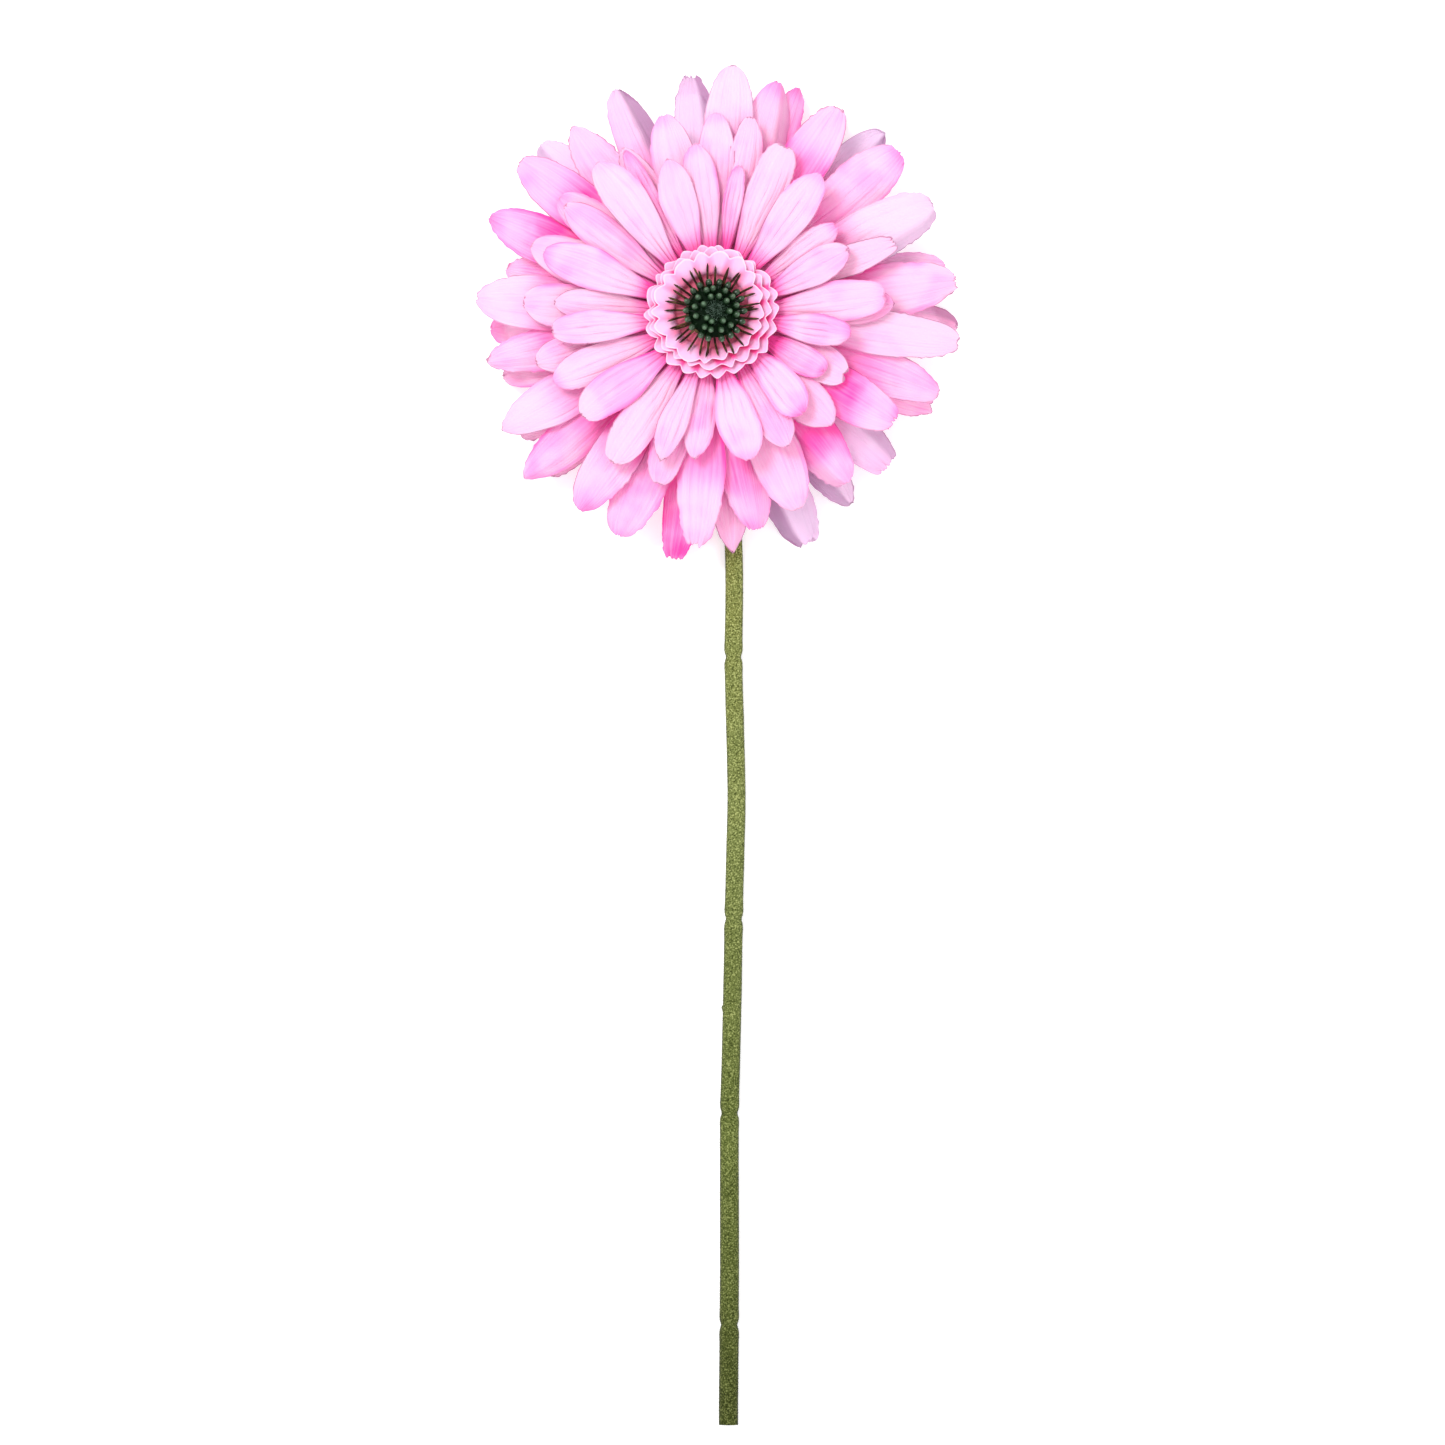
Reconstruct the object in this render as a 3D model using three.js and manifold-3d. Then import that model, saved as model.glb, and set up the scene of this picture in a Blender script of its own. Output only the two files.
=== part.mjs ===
// An artificial gerbera on a cut stem, lying down with its bloom facing up.
// Millimetres, +Z up. The stem runs along -Y on the surface and bends up into the
// calyx under the bloom. Every fabric sheet of the bloom has a hole in its middle,
// and the peg of the centre button holds them all on the calyx.

import * as THREE from 'three';
import { mergeVertices } from 'three/addons/utils/BufferGeometryUtils.js';
import Module from 'manifold-3d';

const wasm = await Module();
wasm.setup();

// ---- driving dimensions -----------------------------------------------------------

const SHEET_THICKNESS = 0.6; // a petal blade
const DISC_THICKNESS = 0.8; // the middle of a sheet, where all its petals meet
const SHEET_PITCH = 1.1; // from one sheet to the next, at the middle
const DISC_RADIUS = 11;
const DISC_SIDES = 18;
const PEG_HOLE_RADIUS = 1.65;
const FIRST_SHEET_HEIGHT = 17.3; // mid-plane of the lowest sheet's disc
const PETAL_ROOT_RADIUS = 9.6; // each petal's root is sunk in its disc, out to the disc's rim

const STEM_RADIUS = 2.34;
const STEM_SIDES = 10;
const STEM_BORE_RADIUS = 1.1;
const STEM_HEIGHT = STEM_RADIUS * Math.cos(Math.PI / STEM_SIDES); // lies on one flat side
const NECK_BEND_RADIUS = 8;
const STEM_TOP = 14.1;
const PINCH_DEPTH = 0.28;
const PINCH_HALF_LENGTH = 1.3;
const PINCH_PLACES = [-242.6, -191.8, -145.2, -82.3]; // along Y
const WIRE_RADIUS = 0.7;
const WIRE_SIDES = 8;

const CALYX_TOP = 16.6;
const CALYX_BOTTOM = 9.8;
const CALYX_SOCKET_RADIUS = 2.72;
const CALYX_SOCKET_TOP = 14.5;
const SEPAL_COUNT = 12;
const SEPAL_REACH = 13.2;

const STAMEN_COUNT = 30;
const STAMEN_RADIUS = 0.42;
const STAMEN_RING_BOTTOM = 26.9;
const STAMEN_RING_TOP = 27.6;
const STAMEN_RING_RADIUS = 6.3;

const BUTTON_RADIUS = 7;
const BUTTON_BOTTOM = 28.1;
const BUTTON_OFFSET = 0.6; // the button sits a little to one side of its peg
const PEG_RADIUS = 1.3;
const PEG_BOTTOM = 15;
const KNOB_RADIUS = 0.62;

const PETAL_COLOR = 0xf6b4e0;
const BACK_PETAL_COLOR = 0xeec4e6;
const COLLAR_COLOR = 0xf8bfe2;
const CALYX_COLOR = 0x6f8a3c;
const STEM_COLOR = 0x76903f;
const BUTTON_COLOR = 0x173a24;
const STAMEN_COLOR = 0x3b2a1c;
const WIRE_COLOR = 0x8c8c8c;

// ---- helpers ----------------------------------------------------------------------

const rad = THREE.MathUtils.degToRad;
const lerp = THREE.MathUtils.lerp;
const clamp = THREE.MathUtils.clamp;

// Merges the vertices of a closed geometry and hands it over as a solid.
function toSolid(geometry) {
  const bare = geometry.clone();
  bare.deleteAttribute('normal');
  bare.deleteAttribute('uv');
  const merged = mergeVertices(bare, 1e-4);
  return new wasm.Manifold(new wasm.Mesh({
    numProp: 3,
    vertProperties: new Float32Array(merged.attributes.position.array),
    triVerts: new Uint32Array(merged.index.array),
  }));
}

function toGeometry(solid) {
  const mesh = solid.getMesh();
  const geometry = new THREE.BufferGeometry();
  geometry.setAttribute('position', new THREE.BufferAttribute(mesh.vertProperties, 3));
  geometry.setIndex(new THREE.BufferAttribute(mesh.triVerts, 1));
  geometry.computeVertexNormals();
  return geometry;
}

function fuse(geometries) {
  return geometries.map(toSolid).reduce((whole, next) => whole.add(next));
}

// A closed body through rings of equally many points, with a flat cap at each end.
function loft(rings) {
  const sides = rings[0].length;
  const positions = [];
  const index = [];
  rings.forEach((ring) => ring.forEach((p) => positions.push(p.x, p.y, p.z)));
  for (let j = 0; j < rings.length - 1; j += 1) {
    for (let i = 0; i < sides; i += 1) {
      const a = j * sides + i;
      const b = j * sides + ((i + 1) % sides);
      index.push(a, b, b + sides, a, b + sides, a + sides);
    }
  }
  const last = (rings.length - 1) * sides;
  for (let i = 1; i < sides - 1; i += 1) {
    index.push(0, i + 1, i);
    index.push(last, last + i, last + i + 1);
  }
  const geometry = new THREE.BufferGeometry();
  geometry.setAttribute('position', new THREE.Float32BufferAttribute(positions, 3));
  geometry.setIndex(index);
  return geometry;
}

// A closed lathe body about Z from a profile of [radius, height] pairs.
function turned(profile, segments) {
  const points = profile.map(([r, z]) => new THREE.Vector2(r, z));
  return new THREE.LatheGeometry(points, segments).rotateX(Math.PI / 2);
}

// A flat ring about Z, used as the middle of every sheet.
function disc(height, radius, hole, thickness, sides) {
  const low = height - thickness / 2;
  const high = height + thickness / 2;
  return turned([[hole, low], [radius, low], [radius, high], [hole, high], [hole, low]], sides);
}

// A smooth curve through evenly spaced values; step counts from 0 at the first value.
function smoothAt(values, step) {
  const last = values.length - 1;
  const i = clamp(Math.floor(step), 0, last - 1);
  const f = clamp(step, 0, last) - i;
  const p0 = values[Math.max(i - 1, 0)];
  const p1 = values[i];
  const p2 = values[i + 1];
  const p3 = values[Math.min(i + 2, last)];
  const bend = 2 * p0 - 5 * p1 + 4 * p2 - p3;
  const twist = 3 * p1 - p0 - 3 * p2 + p3;
  return p1 + 0.5 * f * (p2 - p0 + f * (bend + f * twist));
}

// ---- petals -----------------------------------------------------------------------

// Half the width of a petal at t, from 0 at its root to 1 at its tip.
const PETAL_ROOT_WIDTH = 0.26;
const PETAL_WIDEST = 0.72;
const PETAL_TIP_WIDTH = 0.24;

function petalHalfWidth(t, width) {
  if (t < PETAL_WIDEST) {
    const rise = Math.sin((Math.PI / 2) * (t / PETAL_WIDEST));
    return (width / 2) * lerp(PETAL_ROOT_WIDTH, 1, rise ** 2.1);
  }
  const u = (t - PETAL_WIDEST) / (1 - PETAL_WIDEST);
  return (width / 2) * Math.max((1 - u ** 2.3) ** 0.62, PETAL_TIP_WIDTH);
}

// One petal: a closed blade from its root in the disc out to its tip.
// sheet.heights are the blade's heights each 10 mm out from the axis, from 10 mm.
// lift raises or lowers the tip, sweep turns the root, cup raises (or, below 0,
// lowers) both edges, and lean raises one edge and lowers the other.
function petalBlade(sheet, petal) {
  const { rows, columns } = sheet;
  const [angle, reach, width, lift, sweep, cup, lean] = petal;
  const top = [];
  const bottom = [];
  const spineAt = (t) => {
    const r = lerp(PETAL_ROOT_RADIUS, reach, t);
    return smoothAt(sheet.heights, r / 10 - 1) + lift * t ** 3;
  };
  for (const t of rows) {
    const r = lerp(PETAL_ROOT_RADIUS, reach, t);
    const axis = rad(angle + sweep * (1 - t) ** 2);
    const half = petalHalfWidth(t, width);
    const run = 0.01 * (reach - PETAL_ROOT_RADIUS);
    const slope = (spineAt(t + 0.005) - spineAt(t - 0.005)) / run;
    const depth = SHEET_THICKNESS * Math.hypot(1, slope);
    const open = Math.sin(Math.PI * clamp(t * 0.8, 0, 1));
    for (let i = 0; i <= columns; i += 1) {
      const u = (2 * i) / columns - 1;
      const x = r * Math.cos(axis) - u * half * Math.sin(axis);
      const y = r * Math.sin(axis) + u * half * Math.cos(axis);
      const z = spineAt(t) + open * (cup * u * u + lean * u);
      const low = Math.max(z - depth / 2, 0);
      bottom.push([x, y, low]);
      top.push([x, y, Math.max(z + depth / 2, low + SHEET_THICKNESS)]);
    }
  }
  return closedBlade(top, bottom, rows.length, columns);
}

// Closes two matching grids of points; both faces are split along the same diagonals.
function closedBlade(top, bottom, rowCount, columns) {
  const across = columns + 1;
  const count = top.length;
  const index = [];
  for (let j = 0; j < rowCount - 1; j += 1) {
    for (let i = 0; i < columns; i += 1) {
      const a = j * across + i;
      const b = a + 1;
      const c = a + across;
      const d = c + 1;
      index.push(a, c, d, a, d, b);
      index.push(a + count, d + count, c + count, a + count, b + count, d + count);
    }
  }
  const rim = [];
  for (let i = 0; i < columns; i += 1) rim.push(i);
  for (let j = 0; j < rowCount - 1; j += 1) rim.push(j * across + columns);
  for (let i = columns; i > 0; i -= 1) rim.push((rowCount - 1) * across + i);
  for (let j = rowCount - 1; j > 0; j -= 1) rim.push(j * across);
  rim.forEach((a, k) => {
    const b = rim[(k + 1) % rim.length];
    index.push(a, b, b + count, a, b + count, a + count);
  });
  const geometry = new THREE.BufferGeometry();
  geometry.setAttribute('position', new THREE.Float32BufferAttribute([...top, ...bottom].flat(), 3));
  geometry.setIndex(index);
  return geometry;
}

// The six petal sheets, from the back of the bloom to its front.
// heights: blade height at 10, 20, 30, 40, 50 and 60 mm from the axis.
// petals: [angle, reach, width, lift, sweep, cup, lean], in degrees and millimetres.
const OUTER_ROWS = [0, 0.42, 0.72, 0.92, 1];
const INNER_ROWS = [0, 0.26, 0.5, 0.74, 0.92, 1];

const SHEETS = [
  {
    name: 'petal_sheet_1_back',
    color: BACK_PETAL_COLOR,
    rows: OUTER_ROWS,
    columns: 2,
    heights: [17.3, 17.3, 16.4, 13.8, 9.6, 4.5],
    petals: [
      [11.5, 56.9, 10.5, -1, 0, 0.5, 0],
      [46.5, 60.2, 11, -2.5, 0, 0.6, 0.4],
      [57.5, 58, 8.5, -1.5, 0, 0.5, 0],
      [69, 58.3, 8.5, 0.5, 0, 0.8, -0.4],
      [95, 57.6, 10.5, -10, 0, 0.2, 0],
      [113.5, 58.5, 10.8, -1.5, 0, 0.7, 0.4],
      [134.5, 57.6, 11, -3, 0, 0.4, 0],
      [168, 50.4, 10, -2, 0, 0.5, 0],
      [184, 53.8, 11, -12.2, 0, 0.2, 0],
      [197.5, 52.3, 10.5, -3, 0, 0.6, 0.3],
      [212.5, 54.4, 9.2, -1, 0, 0.5, 0],
      [224, 55.2, 9, -2, 0, 0.5, 0],
      [234, 54.4, 9, -1, 0, 0.5, -0.4],
      [261.5, 59.5, 9.5, -2, 0, 0.8, 0.4],
      [275, 57.6, 10, 1.2, 0, 0.5, 0],
      [291.5, 60, 12, -2, 0, 0.6, -0.5],
      [306, 56.9, 10.5, -1, 0, 0.5, -0.4],
      [319.5, 55.9, 11.5, -2, 0, 0.5, 0],
      [337, 57.6, 11, -3, 0, 0.5, 0.4],
      [357, 59.3, 11.5, -8.9, 0, 0.2, 0],
    ],
  },
  {
    name: 'petal_sheet_2_outer',
    color: PETAL_COLOR,
    rows: OUTER_ROWS,
    columns: 3,
    heights: [18.4, 18.8, 18.8, 17.2, 14.2, 10.5],
    petals: [
      [7, 59, 13, 0, 0, -0.5, -0.4],
      [41, 59, 13, 0.8, 0, -0.5, 0],
      [73.5, 57.6, 11, -0.8, 0, -0.5, 0.4],
      [127.5, 55.7, 11.5, 0, 0, -0.5, 0],
      [157, 58, 11.8, 1, 0, -0.3, 0],
      [192.5, 55.4, 10.5, -0.5, 0, -0.4, 0],
      [221.5, 60, 11.2, 0.5, 0, -0.5, 0],
      [247.5, 58, 12.6, 0, 0, -0.5, 0.4],
      [281.5, 52.8, 11.5, 0, 0, -0.5, 0],
      [309, 52, 12, 0.8, 0, -0.5, 0],
      [341, 57.6, 11, 0, 0, 0.2, 0.3],
    ],
  },
  {
    name: 'petal_sheet_3_outer',
    color: PETAL_COLOR,
    rows: OUTER_ROWS,
    columns: 3,
    heights: [19.5, 20.1, 20.6, 19.6, 17, 13.5],
    petals: [
      [26, 59, 13.5, 0.6, 0, -0.6, 0],
      [58.5, 57.6, 11.5, 0, 0, -0.5, 0],
      [85, 59.5, 12, 1, 0, -0.5, 0.3],
      [141.5, 58.5, 12, 1.2, 0, -0.5, 0],
      [177, 56.9, 13.5, 0, 0, -0.5, 0],
      [209, 57.6, 11.5, 0.5, 0, -0.5, 0],
      [236, 56.9, 12, 0, 0, -0.5, -0.3],
      [266.5, 55.7, 11.5, 0.5, 0, -0.5, 0],
      [294, 51.6, 12.5, 0, 0, -0.5, 0],
      [328.5, 50.9, 12, 1, 0, -0.6, 0.3],
      [353.5, 60, 11, 1.2, 0, -0.6, 0],
    ],
  },
  {
    name: 'petal_sheet_4_middle',
    color: PETAL_COLOR,
    rows: OUTER_ROWS,
    columns: 2,
    heights: [20.6, 21.6, 22.8, 22, 19.6, 17],
    petals: [
      [3, 43.5, 9.5, 0, 0, -0.4, 0],
      [21, 46.5, 7.5, 0, 0, 0.3, 0],
      [77.5, 47.5, 8, 0.5, 0, -0.4, 0],
      [88.5, 47.5, 9, 0, 0, -0.4, 0],
      [104, 48.8, 10.5, 0.8, 0, -0.4, 0],
      [118, 44.5, 8, 0, 0, -0.4, 0.4],
      [143, 45.5, 10, 0, 0, -0.4, 0],
      [160, 46, 11, 0, 0, -0.4, 0],
      [178, 45, 11, 0.5, 0, -0.4, 0],
      [196, 44, 10, 0, 0, -0.4, 0],
      [252, 43.3, 9, 0, 0, -0.4, 0],
      [316, 39.3, 10.5, 0.3, 0, -0.4, 0],
      [335, 35.8, 9.5, 0.3, 0, -0.4, 0],
    ],
  },
  {
    name: 'petal_sheet_5_inner',
    color: PETAL_COLOR,
    rows: INNER_ROWS,
    columns: 4,
    heights: [21.7, 23.2, 25.3, 24.6, 22.2, 20],
    petals: [
      [5, 41.8, 9.8, 0.4, -3, -0.5, 0],
      [35, 36, 6.6, 0.5, -4, -0.4, 0],
      [66.5, 43.5, 9.3, 0, -3.5, -0.5, 0],
      [80, 35.5, 4.5, 0, -4, 0.4, 0],
      [95.5, 40.2, 8.5, 0.4, -5, -0.4, 0],
      [119, 43.7, 4.8, -0.5, -1, 0.5, 0],
      [144, 43.2, 9, 0, 3, -0.5, 0],
      [177, 37.8, 8, 0, 0, -0.4, 0],
      [203.5, 41.5, 9.4, 0.4, 2.5, -0.5, 0],
      [236.5, 43, 9.8, 0, 1, -0.5, 0],
      [264, 35.4, 7.5, 0, 2, -0.4, 0],
      [299.5, 36.8, 9, 0.5, 0, -0.5, 0],
      [332, 31, 7.5, 0, 2, -0.4, 0],
    ],
  },
  {
    name: 'petal_sheet_6_inner',
    color: PETAL_COLOR,
    rows: INNER_ROWS,
    columns: 4,
    heights: [22.8, 25, 27.1, 26.7, 24.5, 22],
    petals: [
      [24, 36.4, 8.5, 0, -7, -0.5, 0],
      [51.5, 41.6, 9.8, 0.6, -4, -0.5, 0],
      [107, 37.8, 8.8, 0, -2, -0.5, 0],
      [127, 44.9, 9.8, 0.5, 3, -0.5, 0],
      [160, 42.5, 9.8, 0, 3, -0.5, 0],
      [187, 38.5, 8, 0.5, 3, -0.4, 0],
      [218, 39.7, 9.8, 0, 5, -0.5, 0],
      [250, 37.8, 7, 0.4, 5, -0.4, 0],
      [283.5, 36.4, 10.2, 0.5, -3, -0.5, 0],
      [313, 32.8, 9.4, 0.3, 3, -0.5, 0],
      [350, 33.5, 7.5, 0, 0, -0.4, 0],
    ],
  },
];

// ---- the ruffled collar -----------------------------------------------------------

// Three frilled rings. stations: [radius, height] from the peg hole to the frilled edge.
const COLLARS = [
  { name: 'collar_outer', waves: 26, stations: [[PEG_HOLE_RADIUS, 0], [8.5, 0], [11.8, 0.3], [15.8, 3]] },
  { name: 'collar_middle', waves: 24, stations: [[PEG_HOLE_RADIUS, 0], [8.5, 0], [11, 0.4], [14.1, 3.3]] },
  { name: 'collar_inner', waves: 22, stations: [[PEG_HOLE_RADIUS, 0], [8.5, 0], [10.2, 0.5], [12.5, 3.5]] },
];
const FRILL_OUT = 0.45; // how far the frill's crests reach out and its hollows in
const FRILL_UP = 0.4;

function frilledRing(collar, discHeight) {
  const segments = collar.waves * 2;
  const top = [];
  const bottom = [];
  collar.stations.forEach(([radius, rise], j) => {
    const share = Math.max(j - 1, 0) / (collar.stations.length - 2);
    const wave = share * share;
    const depth = lerp(SHEET_THICKNESS, SHEET_THICKNESS * 1.35, share);
    for (let i = 0; i < segments; i += 1) {
      const side = i % 2 === 0 ? 1 : -1;
      const angle = (i / segments) * Math.PI * 2;
      const r = radius + side * wave * FRILL_OUT;
      const z = discHeight + rise - side * wave * FRILL_UP;
      const x = r * Math.cos(angle);
      const y = r * Math.sin(angle);
      top.push([x, y, z + depth / 2]);
      bottom.push([x, y, z - depth / 2]);
    }
  });
  const count = top.length;
  const index = [];
  const quad = (a, b, c, d) => index.push(a, b, c, a, c, d);
  for (let i = 0; i < segments; i += 1) {
    const next = (i + 1) % segments;
    for (let j = 0; j < collar.stations.length - 1; j += 1) {
      const a = j * segments + i;
      const b = (j + 1) * segments + i;
      const c = (j + 1) * segments + next;
      const d = j * segments + next;
      quad(a, b, c, d);
      index.push(a + count, c + count, b + count, a + count, d + count, c + count);
    }
    quad(next, next + count, i + count, i);
    const rim = (collar.stations.length - 1) * segments;
    quad(rim + i, rim + i + count, rim + next + count, rim + next);
  }
  const geometry = new THREE.BufferGeometry();
  geometry.setAttribute('position', new THREE.Float32BufferAttribute([...top, ...bottom].flat(), 3));
  geometry.setIndex(index);
  return geometry;
}

// ---- the stem ---------------------------------------------------------------------

// The stem's centre line: [x, y] along the surface, from the cut end to the neck.
const STEM_LINE = [
  [3.96, -266.6], [3.96, -262], [4.1, -246], [4.2, -224.6], [4.2, -192.2], [4.5, -180],
  [4.9, -163], [5.2, -145.4], [5.64, -127.4], [5.88, -116.6], [5.52, -98.6], [5.16, -84.2],
  [5.28, -59], [4.2, -42], [2.4, -26], [0.8, -14],
];
const NECK_ANGLES = [0, 20, 40, 60, 80, 90];

function stemCurve() {
  const points = STEM_LINE.map(([x, y]) => new THREE.Vector3(x, y, STEM_HEIGHT));
  for (const degrees of NECK_ANGLES) {
    const a = rad(degrees);
    const y = NECK_BEND_RADIUS * (Math.sin(a) - 1);
    const z = STEM_HEIGHT + NECK_BEND_RADIUS * (1 - Math.cos(a));
    points.push(new THREE.Vector3(0.25 * Math.cos(a), y, z));
  }
  points.push(new THREE.Vector3(0, 0, STEM_TOP));
  return new THREE.CatmullRomCurve3(points, false, 'centripetal');
}

// A ring of points about the curve at share u, with one flat side turned down.
function ringAt(curve, u, radius, sides) {
  const centre = curve.getPointAt(u);
  centre.z = Math.max(centre.z, STEM_HEIGHT);
  const along = curve.getTangentAt(u);
  const across = new THREE.Vector3(1, 0, 0).addScaledVector(along, -along.x).normalize();
  const up = new THREE.Vector3().crossVectors(across, along);
  const ring = [];
  for (let i = 0; i < sides; i += 1) {
    const a = ((i + 0.5) / sides) * Math.PI * 2 - Math.PI / 2;
    const point = centre.clone();
    point.addScaledVector(across, radius * Math.cos(a));
    point.addScaledVector(up, radius * Math.sin(a));
    point.z = Math.max(point.z, 0);
    ring.push(point);
  }
  return ring.reverse();
}

// The shares of the curve's length at which the stem gets a ring.
function stemStations(curve, pinched) {
  const length = curve.getLength();
  const shares = [0];
  const straight = 1 - (NECK_BEND_RADIUS * 1.6 + 14) / length;
  const steps = 12;
  for (let i = 1; i <= steps; i += 1) shares.push((i / steps) * straight);
  const neckSteps = 8;
  for (let i = 1; i <= neckSteps; i += 1) shares.push(lerp(straight, 1, i / neckSteps));
  if (!pinched) return shares.map((u) => [u, 0]);
  const start = curve.getPointAt(0).y;
  const pinches = PINCH_PLACES.map((y) => (y - start) / length);
  const margin = (PINCH_HALF_LENGTH * 2.5) / length;
  const kept = shares.filter((u) => pinches.every((p) => Math.abs(u - p) > margin));
  const stations = kept.map((u) => [u, 0]);
  for (const p of pinches) {
    stations.push([p - PINCH_HALF_LENGTH / length, 0]);
    stations.push([p, PINCH_DEPTH]);
    stations.push([p + PINCH_HALF_LENGTH / length, 0]);
  }
  return stations.sort((a, b) => a[0] - b[0]);
}

// A round bar along the curve, longer by `extra` at each end where it cuts a bore.
function bar(curve, radius, sides, { pinched = false, extra = 0 } = {}) {
  const rings = stemStations(curve, pinched).map(
    ([u, depth]) => ringAt(curve, u, radius - depth, sides),
  );
  if (extra > 0) {
    const back = curve.getTangentAt(0).multiplyScalar(-extra);
    const onward = curve.getTangentAt(1).multiplyScalar(extra);
    rings.unshift(rings[0].map((point) => point.clone().add(back)));
    rings.push(rings.at(-1).map((point) => point.clone().add(onward)));
  }
  return loft(rings);
}

// ---- calyx, stamens and button ------------------------------------------------------

function calyx() {
  const cup = turned([
    [0, CALYX_BOTTOM], [3.9, CALYX_BOTTOM], [4.4, 11.4], [6.2, 13.6], [8.6, 15.6],
    [9.2, CALYX_TOP], [0, CALYX_TOP],
  ], 16);
  const sepals = [];
  for (let i = 0; i < SEPAL_COUNT; i += 1) {
    const angle = (i / SEPAL_COUNT) * Math.PI * 2;
    const outline = new THREE.Shape([
      new THREE.Vector2(7, -1.7),
      new THREE.Vector2(10.6, -1.3),
      new THREE.Vector2(SEPAL_REACH, 0),
      new THREE.Vector2(10.6, 1.3),
      new THREE.Vector2(7, 1.7),
    ]);
    const sepal = new THREE.ExtrudeGeometry(outline, { depth: 0.8, bevelEnabled: false });
    sepals.push(sepal.translate(0, 0, CALYX_TOP - 1).rotateZ(angle));
  }
  const socket = new THREE.CylinderGeometry(
    CALYX_SOCKET_RADIUS, CALYX_SOCKET_RADIUS, CALYX_SOCKET_TOP - CALYX_BOTTOM + 2, 16,
  ).rotateX(Math.PI / 2).translate(0, 0, (CALYX_SOCKET_TOP + CALYX_BOTTOM - 2) / 2);
  const pegHole = new THREE.CylinderGeometry(PEG_HOLE_RADIUS, PEG_HOLE_RADIUS, 6, 8)
    .rotateX(Math.PI / 2).translate(0, 0, CALYX_TOP);
  return fuse([cup, ...sepals]).subtract(toSolid(socket)).subtract(toSolid(pegHole));
}

// A slim bristle from the ring outwards, bent up a little; three-sided, in two lengths.
function stamen(angle, reach, swirl, rise) {
  const middle = (STAMEN_RING_TOP + STAMEN_RING_BOTTOM) / 2;
  const path = [
    [5.2, 0, middle],
    [8.4, swirl * 0.4, middle + rise * 0.3],
    [reach, swirl, middle + rise],
  ];
  const rings = path.map(([r, turn, z], j) => {
    const radius = STAMEN_RADIUS * (j === 2 ? 0.85 : 1);
    const a = angle + rad(turn);
    const centre = new THREE.Vector3(r * Math.cos(a), r * Math.sin(a), z);
    return [90, 210, 330].map((degrees) => {
      const b = rad(degrees);
      return centre.clone().add(new THREE.Vector3(
        -Math.sin(a) * radius * Math.cos(b), Math.cos(a) * radius * Math.cos(b), radius * Math.sin(b),
      ));
    });
  });
  return loft(rings);
}

function stamenRing() {
  const middle = (STAMEN_RING_TOP + STAMEN_RING_BOTTOM) / 2;
  const thickness = STAMEN_RING_TOP - STAMEN_RING_BOTTOM;
  const parts = [disc(middle, STAMEN_RING_RADIUS, PEG_HOLE_RADIUS, thickness, 15)];
  for (let i = 0; i < STAMEN_COUNT; i += 1) {
    const sway = Math.sin(i * 2.4);
    const angle = ((i + 0.22 * sway) / STAMEN_COUNT) * Math.PI * 2;
    const reach = 11 + 0.5 * Math.sin(i * 1.7);
    parts.push(stamen(angle, reach, 4 * Math.sin(i * 0.9), 3 + 0.3 * sway));
  }
  return fuse(parts);
}

// Rings of knobs on the button: [count, radius of the ring, height, outward tilt].
// Heights here and in the button's profile are above the button's underside.
const KNOB_RINGS = [
  [18, 6.45, 1.7, 62],
  [13, 4.75, 2.8, 34],
  [8, 3.05, 3.3, 16],
];
const BUTTON_PROFILE = [
  [0, 0], [5.2, 0], [BUTTON_RADIUS - 0.4, 0.8], [6.2, 2], [4.6, 2.8], [2.6, 3.1], [0, 2.7],
];

function button() {
  const body = turned(BUTTON_PROFILE, 14).translate(BUTTON_OFFSET, 0, BUTTON_BOTTOM);
  const pegLength = BUTTON_BOTTOM + 0.5 - PEG_BOTTOM;
  const peg = new THREE.CylinderGeometry(PEG_RADIUS, PEG_RADIUS, pegLength, 8)
    .rotateX(Math.PI / 2).translate(0, 0, PEG_BOTTOM + pegLength / 2);
  const parts = [body, peg];
  KNOB_RINGS.forEach(([count, ringRadius, height, tilt], ring) => {
    for (let i = 0; i < count; i += 1) {
      const knob = new THREE.CylinderGeometry(KNOB_RADIUS * 0.65, KNOB_RADIUS, 1.7, 4);
      knob.rotateX(Math.PI / 2).rotateY(rad(tilt));
      knob.translate(ringRadius, 0, BUTTON_BOTTOM + height);
      knob.rotateZ(((i + ring * 0.37) / count) * Math.PI * 2);
      parts.push(knob.translate(BUTTON_OFFSET, 0, 0));
    }
  });
  return fuse(parts);
}

// ---- the assembly -------------------------------------------------------------------

const gerbera = new THREE.Group();

function addPiece(name, solid, color, roughness, metalness = 0) {
  const material = new THREE.MeshStandardMaterial({ color, roughness, metalness });
  const mesh = new THREE.Mesh(toGeometry(solid), material);
  mesh.name = name;
  gerbera.add(mesh);
}

SHEETS.forEach((sheet, k) => {
  const height = FIRST_SHEET_HEIGHT + k * SHEET_PITCH;
  const middle = disc(height, DISC_RADIUS, PEG_HOLE_RADIUS, DISC_THICKNESS, DISC_SIDES);
  const blades = sheet.petals.map((petal) => petalBlade(sheet, petal));
  addPiece(sheet.name, fuse([middle, ...blades]), sheet.color, 0.85);
});

COLLARS.forEach((collar, k) => {
  const height = FIRST_SHEET_HEIGHT + (SHEETS.length + k) * SHEET_PITCH;
  addPiece(collar.name, toSolid(frilledRing(collar, height)), COLLAR_COLOR, 0.85);
});

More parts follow.
